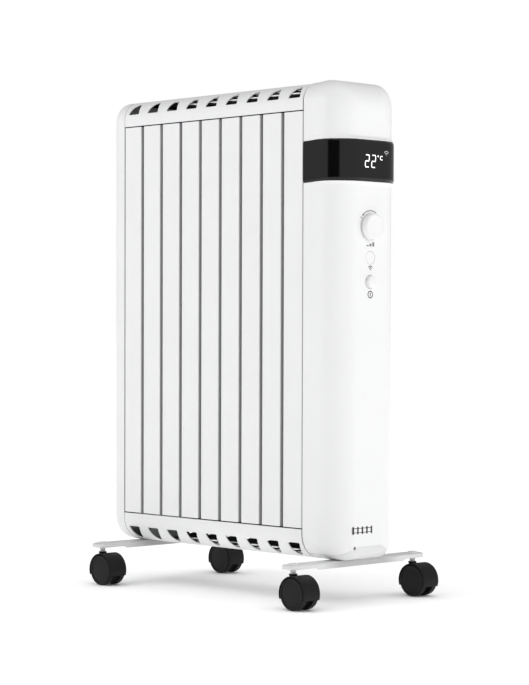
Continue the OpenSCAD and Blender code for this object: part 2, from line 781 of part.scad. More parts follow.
module hood_front_left() at_castor(0, -1) hood();
module axle_front_left() at_castor(0, -1) axle();
module wheel_front_left_a() at_castor(0, -1) wheel(-1);
module wheel_front_left_b() at_castor(0, -1) wheel(1);
module hood_front_right() at_castor(0, 1) hood();
module axle_front_right() at_castor(0, 1) axle();
module wheel_front_right_a() at_castor(0, 1) wheel(-1);
module wheel_front_right_b() at_castor(0, 1) wheel(1);
module hood_rear_left() at_castor(1, -1) hood();
module axle_rear_left() at_castor(1, -1) axle();
module wheel_rear_left_a() at_castor(1, -1) wheel(-1);
module wheel_rear_left_b() at_castor(1, -1) wheel(1);
module hood_rear_right() at_castor(1, 1) hood();
module axle_rear_right() at_castor(1, 1) axle();
module wheel_rear_right_a() at_castor(1, 1) wheel(-1);
module wheel_rear_right_b() at_castor(1, 1) wheel(1);
module fin_1() fin(1);
module fin_2() fin(2);
module fin_3() fin(3);
module fin_4() fin(4);
module fin_5() fin(5);
module fin_6() fin(6);
module fin_7() fin(7);
module fin_8() fin(8);
module fin_9() fin(9);
module foot_bar_front() foot_bar(x_bar_front);
module foot_bar_rear() foot_bar(x_bar_rear);

fin_1();
fin_2();
fin_3();
fin_4();
fin_5();
fin_6();
fin_7();
fin_8();
fin_9();
header_caps();
filler_plug();
heating_element();
element_gasket();
top_grille();
bottom_grille();
rear_plate();
rear_cover();
heat_shield();
control_housing();
bottom_cover();
cover_screws();
display_band();
display_board();
control_board();
power_board();
encoder_body();
encoder_plunger();
encoder_shaft();
knob();
wifi_button();
power_button();
terminal_block();
thermal_cutout();
temperature_probe();
tilt_switch();
tilt_pendulum();
cord_gland();
foot_bracket_front();
foot_bracket_rear();
foot_screws();
foot_bar_front();
foot_bar_rear();
castor_stems();
castor_nuts();
hood_front_left();
hood_front_right();
hood_rear_left();
hood_rear_right();
axle_front_left();
axle_front_right();
axle_rear_left();
axle_rear_right();
wheel_front_left_a();
wheel_front_left_b();
wheel_front_right_a();
wheel_front_right_b();
wheel_rear_left_a();
wheel_rear_left_b();
wheel_rear_right_a();
wheel_rear_right_b();
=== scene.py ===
"""Oil filled radiator heater: the looks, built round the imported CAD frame.

Shapes are worked out in millimetres in the frame's own axes (X from the rear cover to the
controls, Z up) and written as metres. Places come from the boxes of the CAD nodes.
"""
import math

import bmesh
import bpy
from mathutils import Euler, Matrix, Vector


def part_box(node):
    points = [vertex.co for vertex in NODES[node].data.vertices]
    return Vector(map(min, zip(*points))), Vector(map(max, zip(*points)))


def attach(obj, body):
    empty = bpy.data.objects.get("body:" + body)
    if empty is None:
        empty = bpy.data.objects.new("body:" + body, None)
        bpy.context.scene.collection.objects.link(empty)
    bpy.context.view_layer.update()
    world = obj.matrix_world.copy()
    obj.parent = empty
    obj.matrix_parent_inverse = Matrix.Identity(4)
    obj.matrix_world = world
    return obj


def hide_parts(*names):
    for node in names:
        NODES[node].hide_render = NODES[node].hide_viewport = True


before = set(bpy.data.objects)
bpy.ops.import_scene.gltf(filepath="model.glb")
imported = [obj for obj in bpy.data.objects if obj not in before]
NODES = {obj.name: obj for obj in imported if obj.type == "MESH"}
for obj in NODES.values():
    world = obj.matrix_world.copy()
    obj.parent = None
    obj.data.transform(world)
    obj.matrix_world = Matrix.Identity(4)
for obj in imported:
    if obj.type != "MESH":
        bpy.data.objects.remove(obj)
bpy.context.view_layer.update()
MM = 0.001


def mm_box(node):
    """Lowest and highest corner of a CAD node in millimetres."""
    lo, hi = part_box(node)
    return lo / MM, hi / MM


def middle(node):
    """Middle of a CAD node's box in millimetres, as plain numbers."""
    return [(a + b) / 2 for a, b in zip(*mm_box(node))]


# ---- sizes from the frame

HOUSE_LO, HOUSE_HI = mm_box("control_housing")
COVER_LO = mm_box("bottom_cover")[0]
REAR_LO, REAR_HI = mm_box("rear_cover")
TOP_LO, TOP_HI = mm_box("top_grille")
BOTTOM_LO, BOTTOM_HI = mm_box("bottom_grille")
BAND_LO, BAND_HI = mm_box("display_band")
KNOB_LO, KNOB_HI = mm_box("knob")
GLAND_LO, GLAND_HI = mm_box("cord_gland")
FINS = [f"fin_{i}" for i in range(1, 10)]
FIN_X = [middle(fin)[0] for fin in FINS]

HALF_W = HOUSE_HI.y                # half the depth of the body
R_BOTTOM = 32.0                    # corner radius along the bottom
R_TOP = 24.0                       # corner radius along the top
JOINT_X = HOUSE_LO.x               # where the control housing starts
FRONT_X = HOUSE_HI.x               # front face of the housing
HOUSE_D = FRONT_X - JOINT_X
KNOB_Z, WIFI_Z, POWER_Z = (middle(node)[2] for node in ("knob", "wifi_button", "power_button"))
BAND_PROUD = BAND_HI.x - FRONT_X
BAND_RADIUS = 42.0                 # front corners of the display band, seen from above
HOUSE_RADIUS = 38.0                # front corners of the housing, seen from above
WALL = 3.0                         # wall of the housing
SEAM_Z = 62.0                      # lower edge of the housing
TONGUE = [(-44, SEAM_Z), (-20, SEAM_Z + 9), (20, SEAM_Z + 9), (44, SEAM_Z)]
SEAM_GAP = 0.05
PANEL_TOP = TOP_LO.z               # the fins show between these two heights
PANEL_LOW = BOTTOM_HI.z
VENT_W = 20.5
VENT_SHIFT = 0.4                   # how far a vent's middle is from its fin's
FOOT_SCREW_Y = 22.0
PAST = 90.0                        # past the sides, the top and the bottom of every shell
PAST_TOP = 680.0
UNDER = 20.0
CORNER_STEPS = 14


# ---- materials

def node_at(mat, kind, **values):
    """New node of a material with its sockets or settings set by name."""
    node = mat.node_tree.nodes.new(kind)
    for key, value in values.items():
        if key in node.inputs.keys():
            node.inputs[key].default_value = value
        else:
            setattr(node, key, value)
    return node


def material(name, colour, rough, grain=900.0, depth=0.02, spread=0.03, rough_spread=0.05,
             metallic=0.0, specular=0.5, broad=14.0):
    """Principled material: broad tone drift, uneven roughness and a fine surface grain.

    grain is in cycles a metre, depth in millimetres, spread the change of tone either way.
    """
    mat = bpy.data.materials.new(name)
    mat.use_nodes = True
    link = mat.node_tree.links.new
    shader = mat.node_tree.nodes["Principled BSDF"]
    shader.inputs["Metallic"].default_value = metallic
    shader.inputs["Specular IOR Level"].default_value = specular
    place = node_at(mat, "ShaderNodeTexCoord")
    drift = node_at(mat, "ShaderNodeTexNoise", Scale=broad, Detail=3.0, Roughness=0.55)
    fine = node_at(mat, "ShaderNodeTexNoise", Scale=grain, Detail=3.0, Roughness=0.6)
    link(place.outputs["Object"], drift.inputs["Vector"])
    link(place.outputs["Object"], fine.inputs["Vector"])
    tone = node_at(mat, "ShaderNodeValToRGB")
    low, high = tone.color_ramp.elements
    low.position, high.position = 0.3, 0.7
    low.color = [c * (1 - spread) for c in colour] + [1]
    high.color = [min(1.0, c * (1 + spread)) for c in colour] + [1]
    link(drift.outputs["Fac"], tone.inputs["Fac"])
    link(tone.outputs["Color"], shader.inputs["Base Color"])
    sheen = node_at(mat, "ShaderNodeMapRange")
    sheen.inputs["To Min"].default_value = max(0.02, rough - rough_spread)
    sheen.inputs["To Max"].default_value = rough + rough_spread
    link(fine.outputs["Fac"], sheen.inputs["Value"])
    link(sheen.outputs["Result"], shader.inputs["Roughness"])
    bump = node_at(mat, "ShaderNodeBump", Strength=1.0, Distance=depth * MM)
    link(fine.outputs["Fac"], bump.inputs["Height"])
    link(bump.outputs["Normal"], shader.inputs["Normal"])
    return mat


def glowing(name, colour, strength):
    mat = material(name, colour, 0.4, spread=0.01)
    shader = mat.node_tree.nodes["Principled BSDF"]
    shader.inputs["Emission Color"].default_value = (*colour, 1)
    shader.inputs["Emission Strength"].default_value = strength
    return mat


PAINT = material("white_powder_coat", (0.86, 0.862, 0.866), 0.42, 620, 0.035, 0.012, 0.06)
FIN = material("white_fin_enamel", (0.86, 0.862, 0.866), 0.40, 620, 0.035, 0.012, 0.06)
# Near black painted shade: it stands for the shade inside the covers and in the gaps over the
# fins, not for their paint
SHADE_INSIDE = material("painted_shade_inside_covers", (0.012, 0.012, 0.012), 0.85, 500, 0.05, 0.2, 0.05)
# The foot bars' coat is a darker copy of the white powder coat: painted shade under the body
SHADED_BAR_PAINT = material("foot_bar_coat_painted_shade", (0.74, 0.742, 0.746), 0.36, 620, 0.03, 0.015, 0.06)
# The bottom cover's plastic is a greyer copy of the housing's white: painted shade under the
# housing
SHADED_COVER = material("housing_plastic_painted_shade", (0.74, 0.742, 0.745), 0.34, 1500, 0.006, 0.01, 0.04)
HOUSING = material("white_satin_plastic", (0.86, 0.862, 0.865), 0.30, 1500, 0.006, 0.008, 0.04)
CONTROL = material("white_control_plastic", (0.86, 0.86, 0.862), 0.26, 1500, 0.004, 0.006, 0.03)
NUT = material("white_nut_enamel", (0.82, 0.82, 0.82), 0.25, 900, 0.01, 0.015, 0.05)
BAND = material("gloss_black_band", (0.0022, 0.0022, 0.0024), 0.07, 220, 0.0006, 0.1, 0.02,
                specular=0.36)
HOOD = material("black_hood_nylon", (0.006, 0.006, 0.0064), 0.5, 1300, 0.03, 0.12, 0.08,
                specular=0.2)
WHEEL = material("black_wheel_nylon", (0.0055, 0.0055, 0.0058), 0.45, 1100, 0.018, 0.12, 0.08,
                 specular=0.2)
STEEL = material("bright_zinc_steel", (0.42, 0.42, 0.415), 0.28, 700, 0.006, 0.08, 0.1,
                 metallic=1.0)
GALVANISED = material("galvanised_steel", (0.5, 0.51, 0.52), 0.42, 160, 0.006, 0.16, 0.14,
                      metallic=1.0, broad=55)
HEADER = material("header_steel", (0.42, 0.42, 0.42), 0.5, 500, 0.02, 0.1, 0.1, metallic=0.9)
SHEATH = material("element_sheath", (0.16, 0.15, 0.14), 0.5, 500, 0.02, 0.25, 0.1, metallic=0.8)
GASKET = material("gasket_fibre", (0.2, 0.19, 0.18), 0.9, 800, 0.08, 0.2, 0.05)
BOARD = material("circuit_board", (0.02, 0.11, 0.05), 0.45, 380, 0.03, 0.35, 0.15, broad=160)
BLACK = material("black_moulded_plastic", (0.02, 0.02, 0.02), 0.45, 1100, 0.02, 0.15, 0.08)
IVORY = material("ivory_moulded_plastic", (0.72, 0.68, 0.56), 0.42, 1000, 0.015, 0.05, 0.06)
SENSOR = material("sensor_metal", (0.55, 0.55, 0.56), 0.32, 600, 0.006, 0.1, 0.1, metallic=1.0)
PRINT = material("grey_print", (0.03, 0.03, 0.032), 0.5, 900, 0.002, 0.06, 0.05)
FLOOR = material("studio_floor", (0.9, 0.9, 0.9), 0.75, 60, 0.0, 0.004, 0.02)
DIGITS = glowing("lit_digits", (1.0, 1.0, 1.0), 1.0)
DIM_SIGN = glowing("lit_sign", (0.5, 0.5, 0.5), 0.3)


class ToneBlend:
    """Mixes greys into a material's base colour by place and by the way a surface faces; here it
    paints shade.
    """

    def __init__(self, mat):
        self.mat = mat
        self.link = mat.node_tree.links.new
        self.base = mat.node_tree.nodes["Principled BSDF"].inputs["Base Color"]
        self.place = self.split(node_at(mat, "ShaderNodeTexCoord").outputs["Object"])
        self.facing = self.split(node_at(mat, "ShaderNodeNewGeometry").outputs["True Normal"])

    def split(self, socket):
        node = node_at(self.mat, "ShaderNodeSeparateXYZ")
        self.link(socket, node.inputs[0])
        return node.outputs

    def size_of(self, socket):
        node = node_at(self.mat, "ShaderNodeMath", operation="ABSOLUTE")
        self.link(socket, node.inputs[0])
        return node.outputs[0]

    def ramp(self, socket, start, stop, kind="LINEAR"):
        """Mask that is 0 at start and 1 at stop."""
        node = node_at(self.mat, "ShaderNodeMapRange", interpolation_type=kind)
        node.inputs["From Min"].default_value = start
        node.inputs["From Max"].default_value = stop
        self.link(socket, node.inputs["Value"])
        return node.outputs["Result"]

    def grey(self, value, masks, outside):
        """Grey where both masks are 1, or with outside everywhere else."""
        both = node_at(self.mat, "ShaderNodeMath", operation="MULTIPLY")
        for mask, socket in zip(masks, both.inputs):
            self.link(mask, socket)
        mix = node_at(self.mat, "ShaderNodeMix", data_type="RGBA")
        self.link(both.outputs[0], mix.inputs["Factor"])
        tone_input, grey_input = (7, 6) if outside else (6, 7)
        self.link(self.base.links[0].from_socket, mix.inputs[tone_input])
        mix.inputs[grey_input].default_value = (value, value, value, 1)
        self.link(mix.outputs[2], self.base)


def paint_fin_shade(mat, flank_shade, hidden_shade):
    """Painted shade on the fins: only their open panels stay white; their sides in the gaps and
    their parts above and below the panels are painted dark grey.
    """
    blend = ToneBlend(mat)
    flank_in, panel_in, edge = 2.6, 1.2, 0.3
    panel = [blend.ramp(blend.size_of(blend.place["Y"]), (HALF_W - flank_in) * MM,
                        (HALF_W - panel_in) * MM),
             blend.ramp(blend.size_of(blend.facing["X"]), 0.95, 0.7)]
    window = [blend.ramp(blend.place["Z"], PANEL_TOP * MM, (PANEL_TOP - edge) * MM),
              blend.ramp(blend.place["Z"], PANEL_LOW * MM, (PANEL_LOW + edge) * MM)]
    blend.grey(flank_shade, panel, outside=True)
    blend.grey(hidden_shade, window, outside=True)


def paint_bar_shade(mat, shade_grey):
    """Painted shade: the long sides of a foot bar are painted darker under the body than at its
    ends.
    """
    blend = ToneBlend(mat)
    end_y, middle_y = 78.0, 34.0
    sides = [blend.ramp(blend.size_of(blend.place["Y"]), end_y * MM, middle_y * MM, "SMOOTHSTEP"),
             blend.ramp(blend.size_of(blend.facing["X"]), 0.6, 0.9, "SMOOTHSTEP")]
    blend.grey(shade_grey, sides, outside=False)


# Painted shade on the fins' sides in the gaps and on their parts above and below the panels
paint_fin_shade(FIN, 0.5, 0.02)
# Painted shade along the middle of the foot bars' long sides
paint_bar_shade(SHADED_BAR_PAINT, 0.47)

CORNERS = [f"{end}_{hand}" for end in ("front", "rear") for hand in ("left", "right")]
CAD_FINISH = [
    (HEADER, ["header_caps"]),
    (STEEL, ["filler_plug", "encoder_plunger", "encoder_shaft", "tilt_pendulum"]),
    (STEEL, [f"axle_{corner}" for corner in CORNERS]),
    (SHEATH, ["heating_element"]),
    (GASKET, ["element_gasket"]),
    (GALVANISED, ["rear_plate", "heat_shield", "foot_bracket_front", "foot_bracket_rear"]),
    (BOARD, ["display_board", "control_board", "power_board"]),
    (BLACK, ["encoder_body", "temperature_probe"]),
    (IVORY, ["terminal_block", "tilt_switch"]),
    (SENSOR, ["thermal_cutout"]),
    (FIN, FINS),
]
for finish, cad_names in CAD_FINISH:
    for cad_name in cad_names:
        NODES[cad_name].data.materials.clear()
        NODES[cad_name].data.materials.append(finish)


# ---- mesh helpers

def new_object(name, verts, faces, mat=None):
    """Closed mesh object from points in millimetres, with its normals facing out."""
    mesh = bpy.data.meshes.new(name)
    mesh.from_pydata([Vector(v) * MM for v in verts], [], faces)
    made = bmesh.new()
    made.from_mesh(mesh)
    bmesh.ops.remove_doubles(made, verts=made.verts, dist=1e-6)
    bmesh.ops.dissolve_degenerate(made, edges=made.edges, dist=1e-7)
    bmesh.ops.recalc_face_normals(made, faces=made.faces)
    made.to_mesh(mesh)
    made.free()
    if mat:
        mesh.materials.append(mat)
    obj = bpy.data.objects.new(name, mesh)
    bpy.context.scene.collection.objects.link(obj)
    return obj


def place(obj, body, slot, *replaced, angle=32):
    """Shades a piece, sets it on its body and hides the CAD nodes it stands for; its slot argument
    is not used.
    """
    obj.data.polygons.foreach_set("use_smooth", [True] * len(obj.data.polygons))
    obj.data.set_sharp_from_angle(angle=math.radians(angle))
    even = obj.modifiers.new("even_normals", "WEIGHTED_NORMAL")
    even.keep_sharp = True
    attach(obj, body)
    if replaced:
        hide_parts(*replaced)


def loft(rings, closed=True, caps=True):
    """Points and faces of a skin over rings with the same number of points."""
    count = len(rings[0])
    verts = [p for ring in rings for p in ring]
    faces = []
    for k in range(len(rings) - 1):
        for i in range(count if closed else count - 1):
            j = (i + 1) % count
            faces.append((k * count + i, k * count + j, (k + 1) * count + j, (k + 1) * count + i))
    if caps:
        faces.append(tuple(range(count))[::-1])
        faces.append(tuple((len(rings) - 1) * count + i for i in range(count)))
    return verts, faces


def lathe(profile, axis, centre, steps=64):
    """Solid of revolution. profile is (along, radius) pairs and ends on the axis or closes."""
    units = [Vector((1, 0, 0)), Vector((0, 1, 0)), Vector((0, 0, 1))]
    first = "xyz".index(axis)
    along, u, v = units[first:] + units[:first]
    centre = Vector(centre)
    rings = []
    for k in range(steps):
        a = 2 * math.pi * k / steps
        rings.append([centre + along * x + (u * math.cos(a) + v * math.sin(a)) * r
                      for x, r in profile])
    return loft(rings + [rings[0]], closed=profile[0] == profile[-1], caps=False)


def arc(cx, cy, r, a0, a1, steps):
    """Points on an arc, angles in degrees."""
    return [(cx + r * math.cos(math.radians(a0 + (a1 - a0) * i / steps)),
             cy + r * math.sin(math.radians(a0 + (a1 - a0) * i / steps)))
            for i in range(steps + 1)]


def quarter(steps):
    """Angles of a quarter turn, from 0 to 90 degrees, in radians."""
    return [math.pi / 2 * i / steps for i in range(steps + 1)]


def across(start, count):
    """Faces that close a ring whose second half mirrors its first."""
    return [(start + i, start + i + 1, start + count - 2 - i, start + count - 1 - i)
            for i in range(count // 2 - 1)]


def merge(parts):
    """Joins (points, faces) pairs into one."""
    verts, faces = [], []
    for more_verts, more_faces in parts:
        base = len(verts)
        verts += list(more_verts)
        faces += [tuple(base + i for i in face) for face in more_faces]
    return verts, faces


def prism(outline, axis, a, b):
    """Straight prism of a 2-D outline from a to b. axis x takes (y, z), y (x, z), z (x, y)."""
    put = {"x": lambda p, h: (h, p[0], p[1]),
           "y": lambda p, h: (p[0], h, p[1]),
           "z": lambda p, h: (p[0], p[1], h)}[axis]
    return loft([[put(p, a) for p in outline], [put(p, b) for p in outline]])


def rod(axis, centre, a, b, r, steps=40):
    """Cylinder from a to b along the axis, round a centre given as prism gives its outline."""
    outline = arc(centre[0], centre[1], r, 0, 360 * (steps - 1) / steps, steps - 1)
    return prism(outline, axis, a, b)


def box_solid(lo, hi):
    """Box between two opposite corners."""
    outline = [(lo[0], lo[1]), (hi[0], lo[1]), (hi[0], hi[1]), (lo[0], hi[1])]
    return prism(outline, "z", lo[2], hi[2])


def boolean(obj, parts, operation="DIFFERENCE"):
    """Cuts, joins or intersects obj with (points, faces) solids and keeps the result."""
    tool = new_object("tool", *merge(parts))
    change = obj.modifiers.new("change", "BOOLEAN")
    change.operation = operation
    change.solver = "EXACT"
    change.object = tool
    bpy.context.view_layer.update()
    graph = bpy.context.evaluated_depsgraph_get()
    mesh = bpy.data.meshes.new_from_object(obj.evaluated_get(graph))
    obj.modifiers.clear()
    old = obj.data
    obj.data = mesh
    bpy.data.meshes.remove(old)
    bpy.data.objects.remove(tool)


def smoothstep(t):
    """0 up to 0, 1 from 1 on, and smooth between."""
    t = min(1.0, max(0.0, t))
    return t * t * (3 - 2 * t)


# ---- end shells

class EndShell:
    """Shell that closes one end of the body: straight, then rounded over all its edges."""

    def __init__(self, joint_x, depth, toward, top, side_r, top_r, bottom_r, wall,
                 rise=0.0, rows=()):
        self.joint_x, self.depth, self.toward, self.top = joint_x, depth, toward, top
        self.side_r, self.top_r, self.bottom_r = side_r, top_r, bottom_r
        self.wall, self.rise, self.rows = wall, rise, rows

    def top_z(self, along):
        rise_length = 46.0
        return self.top - self.rise * (1 - smoothstep(along / rise_length))

    def ring(self, s, inner):
        """Closed ring at station s: 0 to 1 is the straight stretch, 1 to 2 the rounding."""
        inset = self.wall if inner else 0.0
        u = min(s, 1.0)
        t = max(s - 1.0, 0.0) * math.pi / 2
        low_end_r, high_end_r = 8.0, 16.0
        band_reach = 10.0

        def fillet(radius):
            along = u * (self.depth - radius) + (radius - inset) * math.sin(t)
            return along, radius - (radius - inset) * math.cos(t)

        side_x, side_in = fillet(self.side_r)
        top_x, top_in = fillet(self.top_r)
        bottom_x, bottom_in = fillet(self.bottom_r)
        side_y = HALF_W - side_in
        top_z = self.top_z(top_x) - top_in
        bottom_z = COVER_LO.z + bottom_in
        shrink = 1 - math.cos(t)
        r_low = max(2.0, R_BOTTOM - inset - (R_BOTTOM - low_end_r) * shrink)
        r_high = max(2.0, R_TOP - inset - (R_TOP - high_end_r) * shrink)
        half = []
        for i in range(CORNER_STEPS + 1):
            a = math.pi / 2 * (1 - i / CORNER_STEPS)
            w = math.sin(a) ** 2
            half.append((side_x * (1 - w) + bottom_x * w, side_y - r_low + r_low * math.cos(a),
                         bottom_z + r_low - r_low * math.sin(a)))
        for z_out, z_in, flare in self.rows:
            x, y = side_x, side_y
            if not inner and flare:
                x, y = flared(s, flare)
            z = z_in if inner else z_out
            if self.toward > 0 and BAND_LO.z - band_reach < z_out < BAND_HI.z + band_reach:
                z += camber(side_x)
            half.append((x, y, z))
        for i in range(CORNER_STEPS + 1):
            a = math.pi / 2 * i / CORNER_STEPS
            w = math.sin(a) ** 2
            half.append((side_x * (1 - w) + top_x * w, side_y - r_high + r_high * math.cos(a),
                         top_z - r_high + r_high * math.sin(a)))
        right = [(self.joint_x + self.toward * x, y, z) for x, y, z in half]
        return right + [(x, -y, z) for x, y, z in right[::-1]]

    def solid(self, stations):
        """Points and faces of the closed shell: outer skin, inner skin and the rim."""
        outer = [self.ring(s, False) for s in stations]
        inner = [self.ring(s, True) for s in stations]
        verts, faces = loft(inner[::-1] + outer, caps=False)
        count = len(outer[0])
        last = (len(stations) * 2 - 1) * count
        return verts, faces + across(0, count) + across(last, count)


def camber(along):
    """How far the display band dips towards its ends at the joint."""
    dip, length = 1.5, 34.0
    return -dip * (1 - smoothstep(along / length))


def plan_point(s, centre, radius):
    """Plan point (along, y) of an outline with one rounded corner at station s."""
    if s <= 1:
        return s * centre[0], HALF_W
    a = (s - 1) * math.pi / 2
    return centre[0] + radius * math.sin(a), centre[1] + radius * math.cos(a)


HOUSE_CENTRE = (HOUSE_D - HOUSE_RADIUS, HALF_W - HOUSE_RADIUS)
BAND_CENTRE = (HOUSE_D + BAND_PROUD - BAND_RADIUS, HALF_W - BAND_RADIUS)
RECESS = 1.7


def flared(s, flare):
    """Housing plan point moved a share of the way out to the band, or in by a length below 0."""
    a = housing_point(s, -flare if flare < 0 else 0.0)
    if flare < 0:
        return a
    b = plan_point(s, BAND_CENTRE, BAND_RADIUS)
    return a[0] + (b[0] - a[0]) * flare, a[1] + (b[1] - a[1]) * flare


def housing_point(s, inset):
    """Housing plan point (along, y), set in from the outer face."""
    x, y = plan_point(s, HOUSE_CENTRE, HOUSE_RADIUS - inset)
    if s <= 1:
        y -= inset
    return x, y


def housing_rows():
    """(outer z, inner z, flare) of the rings up the housing, with lips round the band."""
    lip_h, lip_out, gap, edge = 4.6, 0.72, 0.15, 0.6
    plain = [(z, z, 0) for z in (100, 180, 260, 340, 379, 394, 424, 462, 495)]
    lip = []
    for z, up in ((BAND_LO.z - gap, -1), (BAND_HI.z + gap, 1)):
        rows = [(z, z - up * edge, -RECESS),
                (z, z + up * edge, lip_out * 0.97),
                (z + up * 0.4, z + up * 2 * edge, lip_out * 0.95),
                (z + up * lip_h / 2, z + up * lip_h / 2, lip_out * 0.42),
                (z + up * lip_h, z + up * lip_h, 0)]
        lip += rows[::up]
    return plain + lip + [(580, 580, 0)]


STATIONS = [i / 10 for i in range(10)] + [0.97] + [1 + i / 18 for i in range(19)]


def housing_solid():
    shell = EndShell(JOINT_X, HOUSE_D, 1, HOUSE_HI.z, HOUSE_RADIUS, top_r=36, bottom_r=14,
                     wall=WALL, rise=3.2, rows=housing_rows())
    return shell.solid(STATIONS)


def seam_region(gap):
    """Everything below the seam between housing and bottom cover, with its front tongue."""
    outline = [(-PAST, UNDER), (PAST, UNDER), (PAST, SEAM_Z + gap)]
    outline += [(y + math.copysign(gap, y), z + gap) for y, z in TONGUE[::-1]]
    outline += [(-PAST, SEAM_Z + gap)]
    return prism(outline, "x", JOINT_X - 5, FRONT_X + 5)


FRONT_SCREW = (-25, 70)


def front_screw_hole(r):
    """Solids that cut the hole of the screw low on the front."""
    return [rod("x", FRONT_SCREW, FRONT_X - 12, FRONT_X + 2, r, 24)]


def joint_strip():
    """Thin slice at the joint. The shells are cut back by it, so that a dark line shows."""
    strip = 1.0
    return box_solid((JOINT_X - strip, -PAST, UNDER), (JOINT_X + strip, PAST, PAST_TOP))


def control_housing():
    """Housing shell with its openings for the controls, the display, a screw and the gland."""
    obj = new_object("housing_shell", *housing_solid(), HOUSING)
    boolean(obj, [seam_region(SEAM_GAP)])
    knob_r, button_r, screw_r, gland_r = 6.5, 8.2, 1.9, 7.1
    x0, x1 = FRONT_X - WALL - 2, FRONT_X + 2
    cuts = [rod("x", (0, KNOB_Z), x0, x1, knob_r)]
    cuts += [rod("x", (0, z), x0, x1, button_r, 56) for z in (WIFI_Z, POWER_Z)]
    cuts += front_screw_hole(screw_r)
    display_y, display_in = 37.0, 5.0
    cuts += [box_solid((FRONT_X - 12, -display_y, BAND_LO.z + display_in),
                       (x1, display_y, BAND_HI.z - display_in))]
    gland = middle("cord_gland")[::2]
    cuts += [rod("y", gland, HALF_W - 10, HALF_W + 3, gland_r), joint_strip()]
    boolean(obj, cuts)
    place(obj, "frame", "housing_white", "control_housing")


def bottom_cover():
    """What the seam takes off the housing, with its screw holes."""
    obj = new_object("housing_bottom", *housing_solid(), SHADED_COVER)
    boolean(obj, [seam_region(-SEAM_GAP)], "INTERSECT")
    bar_x = middle("foot_bar_front")[0]
    foot_r, front_r = 2.6, 2.3
    holes = [rod("z", (bar_x, s * FOOT_SCREW_Y), COVER_LO.z - 2, COVER_LO.z + 6, foot_r, 24)
             for s in (-1, 1)]
    boolean(obj, holes + front_screw_hole(front_r) + [joint_strip()])
    place(obj, "frame", "housing_white", "bottom_cover")


WELLS = [(s * 32, z) for s in (-1, 1) for z in (150, 540)]


def rear_cover():
    """Pressed steel cover: a shell with near black painted shade inside, and a well for each of
    its four screws.
    """
    joint_x, edge_r, sheet, well_r = REAR_HI.x, 20, 1.2, 5.6
    depth = joint_x - REAR_LO.x
    rows = [(z, z, 0) for z in (100, 150, 230, 345, 460, 540, 600)]
    shell = EndShell(joint_x, depth, -1, TOP_HI.z, edge_r, edge_r, edge_r, sheet, rows=rows)
    stations = [0, 0.5, 0.9] + [1 + i / 14 for i in range(15)]
    obj = new_object("rear_shell", *shell.solid(stations), PAINT)
    boolean(obj, [rod("x", w, REAR_LO.x - 2, REAR_LO.x + 3, well_r) for w in WELLS])
    # Faces that face inwards, or towards the fins, take the near black of painted shade
    obj.data.materials.append(SHADE_INSIDE)
    heart = Vector((joint_x, 0, (TOP_HI.z + BOTTOM_LO.z) / 2)) * MM
    for face in obj.data.polygons:
        from_heart = face.center - heart
        if from_heart.dot(face.normal) < 0 or face.normal.x > 0.95:
            face.material_index = 1
    place(obj, "frame", "body_paint", "rear_cover")
    floor, side_r, bore_r = depth - 1.4, well_r - 0.02, 2.0
    lip = [(0.3 - 0.3 * math.sin(a), 5.2 - 0.6 * math.cos(a)) for a in (0, 0.8, 1.57)]
    inner = (0.9, 4.1)
    profile = [inner] + lip + [(0.3, side_r), (floor, side_r), (floor, bore_r),
                               (floor - sheet, bore_r), (floor - sheet, inner[1]), inner]
    wells = merge([lathe(profile, "x", (REAR_LO.x, y, z), 40) for y, z in WELLS])
    place(new_object("rear_wells", *wells, PAINT), "frame", "body_paint")


# ---- grilles

def vent_outline(h, lean):
    """Fin-shaped vent: a flat base with rounded corners and a tip that leans forward."""
    r = 1.3
    left = [(lean * VENT_W * (1 - math.cos(a)) ** 0.75, h * math.sin(a))
            for a in quarter(10)[1:]]
    right = [(VENT_W * (lean + (1 - lean) * t ** 0.8), h * (1 - t ** 1.6))
             for t in [i / 8 for i in range(1, 8)]]
    return [(r * 0.9, 0), (0.35, 0.25)] + left + right + [(VENT_W, r), (VENT_W - 0.35, 0.3),
                                                         (VENT_W - r, 0)]


def vent_tool(x, side, up, z_c, r, slope, h, lean):
    """Prism that cuts one vent square to the rounded corner; slope is in degrees."""
    a = math.radians(90 - slope)
    rings = []
    reach = 10
    for depth in (r - reach, r + reach):
        ring = []
        for px, py in vent_outline(h, lean):
            local_y = py - h / 2
            y = local_y * math.cos(a) - depth * math.sin(a)
            z = local_y * math.sin(a) + depth * math.cos(a)
            ring.append((x + px - VENT_W / 2 + VENT_SHIFT, -side * (HALF_W - r - y),
                         z_c + up * z))
        rings.append(ring)
    return loft(rings)


